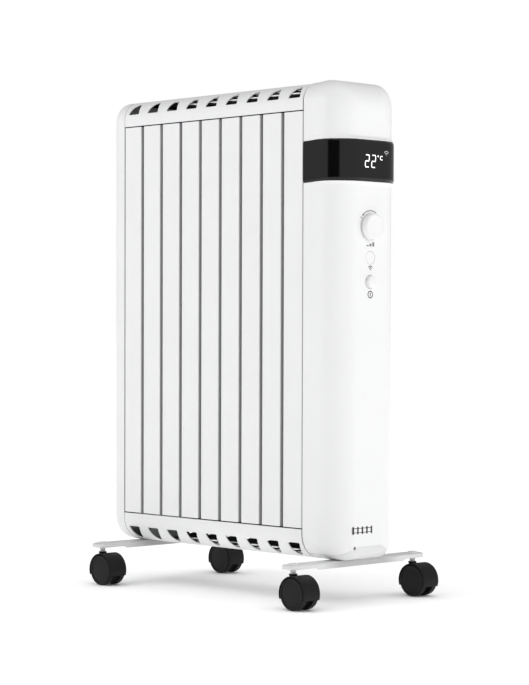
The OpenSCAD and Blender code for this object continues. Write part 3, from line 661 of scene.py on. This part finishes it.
def grille(name, node, up, lo, hi, r, slope, h, lean):
    """Sheet metal channel over the top or bottom of the fins, with vents and slots cut.

    up is 1 at the top and -1 at the bottom, r the corner's radius, h a vent's height.
    """
    z_edge, z_face = (lo.z, hi.z) if up > 0 else (hi.z, lo.z)
    z_c = z_face - up * r
    sheet = 1.0

    def profile(inset):
        right = [(HALF_W - inset, z_edge)]
        for a in quarter(16):
            right.append((HALF_W - r + (r - inset) * math.cos(a),
                          z_c + up * (r - inset) * math.sin(a)))
        return right + [(-y, z) for y, z in right[::-1]]

    outline = profile(0) + profile(sheet)[::-1]
    count = len(outline)
    verts, faces = loft([[(x, y, z) for y, z in outline] for x in (lo.x, hi.x)], caps=False)
    parts = [(verts, faces + across(0, count) + across(count, count))]
    # At the top, two strips just inside the lower edges carry painted shade behind the gap over
    # the fins
    if up > 0:
        strip_mid, strip_half = 57.2, 1.2
        parts += [box_solid((lo.x + 1, s * strip_mid - strip_half, z_edge - 1.2),
                            (hi.x, s * strip_mid + strip_half, z_edge + 1.6)) for s in (-1, 1)]
    obj = new_object(name, *merge(parts), PAINT)
    tools = [vent_tool(x, s, up, z_c, r, slope, h, lean) for x in FIN_X for s in (-1, 1)]
    slot_rows = [(-26, -13.3), (-6.35, 6.35), (13.3, 26)]
    through = 4
    for x in FIN_X[1:]:
        for y0, y1 in slot_rows:
            x0 = x - VENT_W / 2 + VENT_SHIFT
            tools.append(box_solid((x0, y0, z_face - through),
                                   (x0 + VENT_W, y1, z_face + through)))
    boolean(obj, tools)
    # Inner faces, and the strips, take the near black of painted shade
    obj.data.materials.append(SHADE_INSIDE)
    for face in obj.data.polygons:
        y = abs(face.center.y) / MM - (HALF_W - r)
        z = up * (face.center.z / MM - z_c)
        away = math.hypot(y, z) if z > 0 and y > 0 else max(y, z)
        face.material_index = 1 if away < r - 0.8 * sheet else 0
    place(obj, "frame", "body_paint", node)


# ---- display band

def band_section(x, y, nx, ny, depth, z_lo, z_hi):
    """Closed section of the band at a plan point of its recess floor, along its normal."""
    round_from, round_h = 0.6 * depth, 4.6
    half = [(0.0, 0.0)] + [(round_from + (depth - round_from) * math.sin(a),
                            round_h * (1 - math.cos(a))) for a in quarter(7)]
    outline = [(d, z_lo + up) for d, up in half] + [(d, z_hi - up) for d, up in half[::-1]]
    return [(JOINT_X + x + nx * d, y + ny * d, z) for d, z in outline]


def band_ring(s, side, along=None):
    """Section at station s of the housing's plan, or on its straight side at a length along."""
    inner_inset = RECESS - 0.2
    x0, y0 = housing_point(s, inner_inset)
    x1, y1 = plan_point(s, BAND_CENTRE, BAND_RADIUS)
    if along is not None:
        x0 = x1 = along
        y0, y1 = HALF_W - inner_inset, HALF_W
    span = math.hypot(x1 - x0, y1 - y0)
    end_r = 2.2
    near = min(x0 / end_r, 1.0)
    trim = end_r * (1 - math.sqrt(max(0.0, 1 - (1 - near) ** 2)))
    dip = camber(x0)
    return band_section(x0, side * y0, (x1 - x0) / span, side * (y1 - y0) / span, span,
                        BAND_LO.z + trim + dip, BAND_HI.z - trim + dip)


def display_band():
    """Black band that wraps round the housing's front, with a stepped pocket behind it."""
    starts = [0.05, 0.3, 0.7, 1.2, 1.8, 2.3, 6.0, 12.0]
    path = [(0.0, a) for a in starts] + [(1 + i / 28, None) for i in range(29)]
    rings = [band_ring(s, -1, a) for s, a in path]
    rings += [band_ring(s, 1, a) for s, a in path[::-1]]
    obj = new_object("display_band_shell", *loft(rings), BAND)
    back_x, board_x, block_x = FRONT_X - 8, FRONT_X - 0.6, BAND_HI.x - 2.4
    board_y, block_y, in_z = 35, 24, 6
    side = [(back_x, board_y), (board_x, board_y), (board_x, block_y), (block_x, block_y)]
    pocket = [(x, -y) for x, y in side] + side[::-1]
    boolean(obj, [prism(pocket, "z", BAND_LO.z + in_z, BAND_HI.z - in_z)])
    place(obj, "frame", "gloss_black", "display_band", angle=40)


def band_front_x(y):
    """Front surface of the band at a place across it."""
    flat = BAND_CENTRE[1]
    over = max(0.0, abs(y) - flat)
    return BAND_HI.x - BAND_RADIUS + math.sqrt(BAND_RADIUS ** 2 - over ** 2)


def front_sign(outlines, surface, proud=0.12, sink=0.3):
    """Thin prisms that follow a surface x = surface(y). outlines are lists of (y, z)."""
    parts = []
    for outline in outlines:
        back = [(surface(y) - sink, y, z) for y, z in outline]
        face = [(surface(y) + proud, y, z) for y, z in outline]
        parts.append(loft([back, face]))
    return merge(parts)


def bar_outline(p, q, width, pointed=True):
    """Straight stroke from p to q, with pointed ends like a display segment, or square."""
    p, q = Vector(p), Vector(q)
    d = (q - p).normalized()
    n = Vector((-d.y, d.x)) * width / 2
    cut = d * width / 2
    points = [p + n, p - n, q - n, q + n]
    if pointed:
        points = [p + cut + n, p, p + cut - n, q - cut - n, q, q - cut + n]
    return [tuple(v) for v in points]


def stroke_arc(cx, cz, r, a0, a1, width, steps=24):
    """Arc-shaped stroke, angles in degrees from +Y towards +Z."""
    return arc(cx, cz, r + width / 2, a0, a1, steps) + arc(cx, cz, r - width / 2, a1, a0, steps)


def digit_two(y, z, w, h, slant, width):
    """The figure two in segments, h high and w wide, from its lower left corner (y, z)."""
    def at(u, v):
        return y + u * w + slant * v * h, z + v * h
    gap = 0.03
    corners = [((0, 1), (1, 1)), ((1, 1 - gap), (1, 0.5 + gap)), ((0, 0.5), (1, 0.5)),
               ((0, 0.5 - gap), (0, gap)), ((0, 0), (1, 0))]
    return [bar_outline(at(*a), at(*b), width) for a, b in corners]


def display():
    """Two lit figures, a degree sign with its letter, and a dim wireless sign."""
    digit_up, height, line = 17.3, 14.6, 1.15
    z0 = BAND_LO.z + digit_up
    top = z0 + height
    strokes = []
    for y in (-16.7, -5.5):
        strokes += digit_two(y, z0, 6.4, height, 0.07, line)
    degree = [stroke_arc(6.2, top - 0.6, 0.7, a, a + 180, 0.7, 12) for a in (0, 180)]
    letter = [stroke_arc(12.4, top - 2.6, 2.3, 50, 310, 0.9, 24)]
    lit = front_sign(strokes + degree + letter, band_front_x)
    place(new_object("lit_digits", *lit, DIGITS), "frame", "gloss_black")
    fan_y, fan_z = 21.2, top + 1.0
    waves = [stroke_arc(fan_y, fan_z, r, 38, 142, 0.8, 16) for r in (2.7, 5.2)]
    waves.append([(fan_y - 0.8, fan_z + 0.7), (fan_y, fan_z - 0.2), (fan_y + 0.8, fan_z + 0.7)])
    sign = front_sign(waves, band_front_x)
    place(new_object("lit_wireless_sign", *sign, DIM_SIGN), "frame", "gloss_black")


# ---- printed marks

def knob_sign():
    """Arc round the knob that ends in an arrow head, and a dash beyond it."""
    def spoke(r, degrees):
        a = math.radians(degrees)
        return r * math.cos(a), KNOB_Z + r * math.sin(a)

    arc_r, dash_turn = 19.7, 146
    tip_y, tip_z = spoke(arc_r, 134)
    return [stroke_arc(0, KNOB_Z, arc_r, 60, 132, 0.8, 30),
            [(tip_y + 0.6, tip_z + 2.0), (tip_y - 1.5, tip_z - 1.5), (tip_y + 2.2, tip_z - 0.2)],
            bar_outline(spoke(arc_r - 1.1, dash_turn), spoke(arc_r + 1.5, dash_turn), 0.9,
                        pointed=False)]


def level_sign(low_z):
    """Three columns of one, two and three short lines."""
    pitch, half, line_up = 5.0, 1.7, 1.8
    lines = [((column - 1) * pitch, low_z + line * line_up)
             for column in range(3) for line in range(column + 1)]
    return [bar_outline((y - half, z), (y + half, z), 1.3, pointed=False) for y, z in lines]


def wave_sign(z):
    """Two arcs over a dot."""
    waves = [stroke_arc(0, z, r, 40, 140, 1.0, 16) for r in (2.6, 4.7)]
    return waves + [arc(0, z + 0.4, 0.9, 0, 350, 12)]


def power_sign(z):
    """Ring with an upright line in it."""
    half = 2.2
    ring = [stroke_arc(0, z, 4.0, a, a + 180, 1.35, 24) for a in (0, 180)]
    return ring + [bar_outline((0, z - half), (0, z + half), 1.3, pointed=False)]


def radiator_sign(mid_y, mid_z):
    """Five round-ended uprights on two rails."""
    height, pitch, bar_r, rail_up = 9.6, 8.0, 1.35, 2.6
    rails = [bar_outline((mid_y - 2 * pitch, mid_z + s * rail_up),
                         (mid_y + 2 * pitch, mid_z + s * rail_up), 0.8, pointed=False)
             for s in (-1, 1)]
    up = height / 2 - bar_r
    return rails + [arc(mid_y + k * pitch, mid_z + up, bar_r, 0, 180, 10)
                    + arc(mid_y + k * pitch, mid_z - up, bar_r, 180, 360, 10)
                    for k in range(-2, 3)]


def printed_marks():
    """Plain signs in dark print on the housing's flat front."""
    drawn = knob_sign() + level_sign(438.7) + wave_sign(409.2) + power_sign(379.2)
    drawn += radiator_sign(-12.0, 91.2)
    print_mesh = front_sign(drawn, lambda y: FRONT_X, 0.06, 0.2)
    place(new_object("control_marks", *print_mesh, PRINT), "frame", "housing_white")


# ---- controls

def edge_round(x, r, radius, steps=6):
    """Profile points of a rounded front edge that ends at face x and side radius r."""
    return [(x - radius + radius * math.sin(a), r - radius + radius * math.cos(a))
            for a in [math.pi / 2 * (1 - i / steps) for i in range(steps + 1)]]


def knob():
    """Cap with a shallow dish in front, hollow behind, and a blind bore for its shaft."""
    x1, x0 = KNOB_HI.x, KNOB_LO.x
    dish, dish_r, face_r, side_r = 0.45, 13.4, 15.7, 16.5
    boss_r, shaft_r = 6, 3.04
    hollow_x, bore_x = x1 - 3.5, x1 - 2.9
    front = [(x1 - dish + dish * (r / dish_r) ** 2, r) for r in (0, 3.5, 7, 10, 12, dish_r)]
    profile = front + edge_round(x1, face_r, 1.9)
    profile += [(x0 + 1.2, side_r - 0.1), (x0 + 0.3, side_r), (x0, side_r - 0.4),
                (x0, side_r - 1.9), (hollow_x, side_r - 2.4), (hollow_x, boss_r),
                (x0 + 0.3, boss_r), (x0, boss_r - 0.3), (x0, shaft_r), (bore_x, shaft_r),
                (bore_x, 0)]
    obj = new_object("knob_cap", *lathe(profile, "x", (0, 0, KNOB_Z), 96), CONTROL)
    place(obj, "knob", "control_white", "knob")


def push_button(name, node, z, edge, crown):
    """Button cap with a flange behind the wall and a stem that reaches its switch."""
    lo, hi = mm_box(node)
    r, flange_r, stem_r = 7.8, 9.0, 2.5
    flange_x0 = FRONT_X - WALL - 1.6
    flange_x1 = flange_x0 + 1.4
    crown_r = r - edge
    front = [(hi.x - crown * (q / crown_r) ** 2, q)
             for q in [crown_r * i / 6 for i in range(6)]]
    rim = edge_round(hi.x - crown, r, edge)
    profile = front + rim + [(flange_x1, r), (flange_x1, flange_r), (flange_x0, flange_r),
                             (flange_x0, stem_r), (lo.x, stem_r), (lo.x, 0)]
    obj = new_object(name, *lathe(profile, "x", (0, 0, z), 72), CONTROL)
    place(obj, node, "control_white", node)


# ---- screws

def cross_screw(centre, axis, toward, head_r, head_h, shaft_r, shaft_l):
    """Pan-head screw; toward is the sign of the direction its head faces along the axis."""
    dome = [(toward * head_h * math.sqrt(max(0.0, 1 - (r / head_r) ** 2)) * 0.9, r)
            for r in [head_r * math.sin(a) for a in quarter(6)]]
    profile = dome + [(0, head_r), (0, shaft_r), (-toward * shaft_l, shaft_r),
                      (-toward * shaft_l, 0)]
    return lathe(profile, axis, centre, 28)


def cross_tool(centre, axis, toward, head_r, head_h):
    """Cross that is cut into the head of such a screw."""
    arm, width = head_r * 0.55, head_r * 0.11
    low, high = toward * head_h * 0.25, toward * (head_h + 1)
    flat = {"x": (centre[1], centre[2]), "z": (centre[0], centre[1])}[axis]
    base = {"x": centre[0], "z": centre[2]}[axis]
    outline = [(width, width), (arm, width), (arm, -width), (width, -width), (width, -arm),
               (-width, -arm), (-width, -width), (-arm, -width), (-arm, width),
               (-width, width), (-width, arm), (width, arm)]
    return prism([(flat[0] + u, flat[1] + v) for u, v in outline], axis, base + low, base + high)


def screws():
    """Screws of the rear cover, the housing's front and the foot bars, as two sets."""
    seat_x, seat_z = REAR_HI.x - 2.8, COVER_LO.z - 1.65
    bar_xs = [middle(f"foot_bar_{end}")[0] for end in ("front", "rear")]
    cover = [((seat_x, y, z), "x", -1, 3.5, 2.2, 1.9, 6.4) for y, z in WELLS]
    cover.append(((FRONT_X - 4.6, *FRONT_SCREW), "x", 1, 1.65, 2.0, 1.1, 6.2))
    foot = [((x, s * FOOT_SCREW_Y, seat_z), "z", -1, 4.5, 2.4, 2.4, 7.6)
            for x in bar_xs for s in (-1, 1)]
    for kind, jobs in (("cover", cover), ("foot", foot)):
        obj = new_object(f"{kind}_screw_set", *merge([cross_screw(*job) for job in jobs]), STEEL)
        boolean(obj, [cross_tool(*job[:5]) for job in jobs])
        place(obj, "frame", "zinc_steel", f"{kind}_screws", angle=28)


# ---- cord gland

def cord_gland():
    """Flanged bush with a ribbed end, round the bore that a cord would come out of."""
    x, _, z = middle("cord_gland")
    y0, y1 = GLAND_LO.y, GLAND_HI.y
    nut_y, wall_y, collar_y = HALF_W - 6.1, HALF_W - 3.1, HALF_W + 2
    bore, body_r, flange_r, chamfer = 3.8, 7.0, 9.0, 0.6
    profile = [(y0, bore), (y0, body_r), (nut_y, body_r), (nut_y, flange_r),
               (wall_y, flange_r), (wall_y, body_r), (HALF_W, body_r), (HALF_W, flange_r),
               (collar_y - chamfer, flange_r), (collar_y, flange_r - chamfer),
               (collar_y, body_r)]
    ribs, crest, root = 3, body_r - 0.2, body_r - 0.9
    step = (y1 - collar_y) / (2 * ribs)
    for k in range(ribs):
        a = collar_y + 2 * k * step
        profile += [(a + step * 0.9, crest), (a + step, root), (a + 1.9 * step, root),
                    (a + 2 * step, crest)]
    profile = [p for p in profile if p[0] <= y1]
    profile += [(y1, body_r - chamfer), (y1, bore + chamfer), (y1 - chamfer, bore), (y0, bore)]
    obj = new_object("cord_gland_bush", *lathe(profile, "y", (x, 0, z), 56), BLACK)
    place(obj, "frame", "black_plastic", "cord_gland")


# ---- feet

STEM_Y = 106.3
BAR_SHEET = 1.6


def stadium(half_w, y_end, rows):
    """Stadium outline as matching right and left points, from one tip to the other."""
    steps = 14
    right = [(half_w * math.sin(a), -y_end - half_w * math.cos(a))
             for a in quarter(steps)[:-1]]
    right += [(half_w, y) for y in rows]
    return right + [(half_w * math.cos(a), y_end + half_w * math.sin(a))
                    for a in quarter(steps)[1:]]


def foot_bar(end):
    """Channel with round ends; its skirt is lower between two steps. Returns its middle x."""
    lo, hi = mm_box(f"foot_bar_{end}")
    centre_x = (lo.x + hi.x) / 2
    half_w = (hi.x - lo.x) / 2
    edge, lip = 2.4, 0.35
    step_y, step_l, step_h = 77.0, 5.0, 2.3
    half_rows = [20.0, 50.0, 70.0] + [step_y - step_l / 2 + step_l * i / 5 for i in range(6)]
    rows = [-STEM_Y] + [-y for y in half_rows[::-1]] + [0.0] + half_rows + [STEM_Y]

    def skirt(y):
        return lo.z + step_h * smoothstep((abs(y) - step_y + step_l / 2) / step_l)

    def ring(inset, height):
        """height None follows the skirt's edge."""
        right = stadium(half_w - inset, STEM_Y, rows)
        points = [(x, y, skirt(y) if height is None else height) for x, y in right]
        left = [(-x, y, z) for x, y, z in points[1:-1]]
        return [(centre_x + x, y, z) for x, y, z in points + left[::-1]]

    rings = [ring(BAR_SHEET, hi.z - BAR_SHEET), ring(BAR_SHEET, None), ring(lip, None),
             [(x, y, z + lip) for x, y, z in ring(0.0, None)]]
    for a in quarter(5):
        rings.append(ring(edge * (1 - math.cos(a)), hi.z - edge + edge * math.sin(a)))
    verts, faces = loft(rings, caps=False)
    count = len(rings[0])
    half = count // 2
    for base in (0, (len(rings) - 1) * count):
        faces.append((base, base + 1, base + count - 1))
        for i in range(1, half - 1):
            faces.append((base + i, base + i + 1, base + count - i - 1, base + count - i))
        faces.append((base + half - 1, base + half, base + half + 1))
    obj = new_object(f"foot_bar_channel_{end}", verts, faces, SHADED_BAR_PAINT)
    boolean(obj, [rod("z", (centre_x, s * y), lo.z, hi.z + 3, r, 24)
                  for y, r in ((STEM_Y, 3.8), (FOOT_SCREW_Y, 2.55)) for s in (-1, 1)])
    place(obj, "frame", "body_paint", f"foot_bar_{end}")
    return centre_x


def stems_and_nuts(bar_xs):
    """Grooved stems with a lock ring under the bars' sheet, and a low cap nut on top of each."""
    under_bar = mm_box("foot_bar_front")[1].z - BAR_SHEET
    stem_lo, stem_hi = mm_box("castor_stems")
    nut_lo, nut_hi = mm_box("castor_nuts")
    stem_r, end_cut, groove_z, groove_r = 3.6, 0.5, 43.6, 3.25
    lock_z, lock_r = 49.6, 6.2
    stem = [(stem_lo.z, 0), (stem_lo.z, stem_r - end_cut), (stem_lo.z + end_cut, stem_r),
            (groove_z, stem_r), (groove_z + 0.4, groove_r), (groove_z + 1.0, groove_r),
            (groove_z + 1.4, stem_r), (lock_z, stem_r), (lock_z, lock_r - 0.3),
            (lock_z + 0.4, lock_r), (under_bar - 0.4, lock_r), (under_bar, lock_r - 0.3),
            (under_bar, stem_r), (stem_hi.z - end_cut, stem_r), (stem_hi.z, stem_r - end_cut),
            (stem_hi.z, 0)]
    places = [(x, s * STEM_Y, 0) for x in bar_xs for s in (-1, 1)]
    stems = merge([lathe(stem, "z", p, 36) for p in places])
    place(new_object("castor_stem_set", *stems, STEEL), "frame", "zinc_steel", "castor_stems")
    top, edge, crown, fit = nut_hi.z, 0.9, 0.25, 0.1
    nut_r = (nut_hi.x - nut_lo.x) / 2 - (bar_xs[0] - bar_xs[1]) / 2
    nut = [(top - crown * (r / (nut_r - edge)) ** 2, r) for r in (0, 2, 3.5)]
    nut += edge_round(top - crown, nut_r, edge)
    nut += [(nut_lo.z, nut_r), (nut_lo.z, stem_r + fit), (stem_hi.z + fit, stem_r + fit),
            (stem_hi.z + fit, 0)]
    nuts = merge([lathe(nut, "z", p, 40) for p in places])
    place(new_object("castor_nut_set", *nuts, NUT), "frame", "nut_paint", "castor_nuts")


# ---- castors

WHEEL_R = 20.0
TRAIL = 10.5                       # from the stem's axis to the axle


def hood_mesh(name, centre):
    """Crown, web and boss of a twin-wheel castor, with its stem axis at centre."""
    cx, cy = centre
    crown_in, crown_out = WHEEL_R + 0.5, WHEEL_R + 1.7
    half_w, web_w, web_r, round_r = 14.0, 5.0, 3.6, 0.9
    right = [(crown_out, half_w - round_r - 4.0)]
    right += [(crown_out + round_r * (math.cos(a) - 1), half_w + round_r * (math.sin(a) - 1))
              for a in quarter(4)]
    right += [(crown_in, half_w), (crown_in, web_w), (web_r, web_w)]
    section = right + [(r, -y) for r, y in right[::-1]]
    low, high, steps = -19.4, 199.4, 44
    rings = []
    for k in range(steps + 1):
        a = math.radians(low + (high - low) * k / steps)
        rings.append([(cx + TRAIL + r * math.cos(a), cy + y, WHEEL_R + r * math.sin(a))
                      for r, y in section])
    obj = new_object(name, *loft(rings), HOOD)
    low_z, foot_z, top, neck, flare, bore, flange = 26, 30, 43.0, 4.7, 2.0, 3.65, 5.2
    profile = [(low_z, bore), (top, bore), (top, flange - 0.4), (top - 0.4, flange),
               (top - 2.0, flange), (top - 2.4, neck), (top - 3.2, neck)]
    profile += [(top - 3.2 - 2.6 * math.sin(a), neck + flare * (1 - math.cos(a)))
                for a in quarter(5)[1:]]
    profile += [(foot_z, neck + flare), (low_z, neck + 0.5), (low_z, bore)]
    boolean(obj, [rod("z", (cx, cy), low_z, top + 4, bore, 40)])
    boolean(obj, [lathe(profile, "z", (cx, cy, 0), 40)], "UNION")
    axle_r, reach = 3.06, 8
    boolean(obj, [rod("y", (cx + TRAIL, WHEEL_R), cy - reach, cy + reach, axle_r, 32)])
    return obj


def wheel_mesh(name, centre, side):
    """One wheel of a castor: a domed disc with a raised rim and a solid tread."""
    cx, cy = centre
    inner, outer, axle_end, axle_r = 5.5, 14.0, 12.2, 3.05
    edge, dome_r, rim_r, hollow_x = 2.2, 16.2, 16.5, inner + 3
    face = [(outer - 0.9 + 0.5 * (1 - (r / dome_r) ** 2), r) for r in (0, 4, 8, 12, 14.5, 15.9)]
    rim = [(outer - 0.75, 16.3), (outer - 0.1, 16.8), (outer, 17.2), (outer, WHEEL_R - edge - 0.1)]
    tread = [(outer - edge + edge * math.cos(a), WHEEL_R - edge + edge * math.sin(a))
             for a in quarter(6)]
    back = [(inner + 0.6, WHEEL_R), (inner, WHEEL_R - 0.6), (inner, rim_r),
            (hollow_x, rim_r - 0.3), (hollow_x, 5.8), (inner, 5.5), (inner, axle_r),
            (axle_end, axle_r), (axle_end, 0)]
    profile = [(side * x, r) for x, r in face + rim + tread + back]
    return new_object(name, *lathe(profile, "y", (cx + TRAIL, cy, WHEEL_R), 72), WHEEL)


def castors(bar_xs):
    """Four castors, each a hood on its swivel body and two wheels on their own bodies."""
    for end, x in zip(("front", "rear"), bar_xs):
        for hand, sign in (("left", -1), ("right", 1)):
            corner = f"{end}_{hand}"
            centre = (x, sign * STEM_Y)
            place(hood_mesh(f"castor_hood_{corner}", centre), f"castor_{corner}", "hood_nylon",
                  f"hood_{corner}", angle=34)
            for letter, side in (("a", -1), ("b", 1)):
                key = f"wheel_{corner}_{letter}"
                place(wheel_mesh(f"castor_{key}", centre, side), key, "wheel_nylon", key)


# ---- studio

def studio_world():
    """White to the camera. As light it is a bright room with a dark screen in it."""
    world = bpy.data.worlds.new("studio")
    world.use_nodes = True
    world.node_tree.nodes.clear()
    link = world.node_tree.links.new
    white = (1, 1, 1, 1)
    path = node_at(world, "ShaderNodeLightPath")
    seen = node_at(world, "ShaderNodeBackground", Color=white, Strength=1.0)
    lit = node_at(world, "ShaderNodeBackground", Color=white)
    split = node_at(world, "ShaderNodeSeparateXYZ")
    link(node_at(world, "ShaderNodeTexCoord").outputs["Generated"], split.inputs[0])
    east, north, up = (split.outputs[axis] for axis in "XYZ")

    def math_node(operation, *values):
        node = node_at(world, "ShaderNodeMath", operation=operation)
        for socket, value in zip(node.inputs, values):
            if isinstance(value, (int, float)):
                socket.default_value = value
            else:
                link(value, socket)
        return node.outputs[0]

    def soft_range(value, start, stop, low=0.0, high=1.0):
        node = node_at(world, "ShaderNodeMapRange", interpolation_type="SMOOTHSTEP")
        link(value, node.inputs["Value"])
        for key, number in zip(("From Min", "From Max", "To Min", "To Max"),
                               (start, stop, low, high)):
            node.inputs[key].default_value = number
        return node.outputs["Result"]

    # Azimuth in degrees from -Y towards +X; a dark screen stands between two azimuths
    turn = math_node("ARCTAN2", east, math_node("MULTIPLY", north, -1.0))
    azimuth = math_node("MULTIPLY", turn, 180 / math.pi)
    screen_mid, screen_half, soft_edge = 24.0, 20.0, 5.0
    off_screen = math_node("ABSOLUTE", math_node("SUBTRACT", azimuth, screen_mid))
    beside = soft_range(off_screen, screen_half - soft_edge, screen_half + soft_edge)
    above = soft_range(up, 0.42, 0.6)
    screen = soft_range(math_node("MAXIMUM", beside, above), 0.0, 1.0, 0.05)
    # For soft light the screen is taller and wider than its mirror image is
    wide = soft_range(off_screen, 8.0, 46.0, 0.12)
    soft = math_node("MAXIMUM", wide, soft_range(up, 0.6, 0.95))
    is_soft = path.outputs["Is Diffuse Ray"]
    shaded = math_node("ADD", math_node("MULTIPLY", is_soft, soft),
                       math_node("MULTIPLY", math_node("SUBTRACT", 1.0, is_soft), screen))
    # The room is brightest in front of the object's two main sides, and dim behind them
    front = 46.0
    turned = math_node("ABSOLUTE", math_node("SUBTRACT", azimuth, front))
    across = math_node("MINIMUM", turned, math_node("SUBTRACT", 360.0, turned))
    room = soft_range(across, 62.0, 130.0, 0.85, 0.4)
    ceiling = soft_range(up, 0.3, 0.8, 0.0, 0.08)
    strength = math_node("ADD", math_node("MULTIPLY", shaded, room), ceiling)
    link(strength, lit.inputs["Strength"])
    mix = node_at(world, "ShaderNodeMixShader")
    for source, socket in zip((path.outputs["Is Camera Ray"], lit.outputs[0], seen.outputs[0]),
                              mix.inputs):
        link(source, socket)
    link(mix.outputs[0], node_at(world, "ShaderNodeOutputWorld").inputs["Surface"])
    return world


def add_light(name, kind, energy, **settings):
    """Light that shows in no mirror image."""
    light = bpy.data.lights.new(name, kind)
    light.energy = energy
    for key, value in settings.items():
        setattr(light, key, value)
    obj = bpy.data.objects.new(name, light)
    obj.visible_glossy = False
    bpy.context.scene.collection.objects.link(obj)
    return obj


def softbox(name, location, width, height, energy):
    """Rectangular light that faces the middle of the object."""
    box = add_light(name, "AREA", energy, shape="RECTANGLE", size=width, size_y=height)
    box.location = location
    target = Vector((0, 0, 0.3))
    box.rotation_euler = (target - box.location).to_track_quat("-Z", "Y").to_euler()


def floor_and_overhead():
    """White floor just under the wheels, and a broad light that falls on nothing else."""
    size = 30.0 / MM
    corners = [(-size, -size, 0), (size, -size, 0), (size, size, 0), (-size, size, 0)]
    floor = new_object("studio_floor", corners, [(0, 1, 2, 3)], FLOOR)
    floor.location.z = -0.2 * MM
    lit_floor = bpy.data.collections.new("lit_floor")
    lit_floor.objects.link(floor)
    overhead = add_light("overhead", "SUN", 2.15, angle=math.radians(120))
    overhead.rotation_euler = (math.radians(13), math.radians(-10), 0)
    overhead.light_linking.receiver_collection = lit_floor


def add_camera():
    """Camera that looks along the object's diagonal, slightly down."""
    lens_mm, pitch, roll, yaw = 114.587, -1.809, -0.169, 46.08
    data = bpy.data.cameras.new("camera")
    data.lens = lens_mm
    data.sensor_fit = "AUTO"
    data.sensor_width = 36
    data.shift_y = 0.08
    data.clip_end = 200
    camera = bpy.data.objects.new("camera", data)
    camera.location = (2.0385, -1.9431, 0.3374)
    camera.rotation_euler = Euler([math.radians(a) for a in (90 + pitch, roll, yaw)])
    bpy.context.scene.collection.objects.link(camera)
    bpy.context.scene.camera = camera


def studio():
    bpy.context.scene.view_settings.view_transform = "Standard"
    bpy.context.scene.world = studio_world()
    softbox("softbox_left", (-1.0, -3.3, 0.9), 2.0, 1.6, 19)
    softbox("softbox_right", (2.6, 1.5, 0.9), 1.8, 1.6, 17)
    floor_and_overhead()
    add_camera()


# ---- build

control_housing()
bottom_cover()
rear_cover()
grille("top_vent_cover", "top_grille", 1, TOP_LO, TOP_HI, R_TOP, 35, 16.6, 0.77)
grille("bottom_vent_cover", "bottom_grille", -1, BOTTOM_LO, BOTTOM_HI, R_BOTTOM, 42.7, 22.2, 0.52)
display_band()
display()
printed_marks()
knob()
push_button("wireless_button_cap", "wifi_button", WIFI_Z, edge=0.45, crown=0.0)
push_button("power_button_cap", "power_button", POWER_Z, edge=2.2, crown=0.35)
screws()
cord_gland()
BAR_XS = [foot_bar("front"), foot_bar("rear")]
stems_and_nuts(BAR_XS)
castors(BAR_XS)
studio()
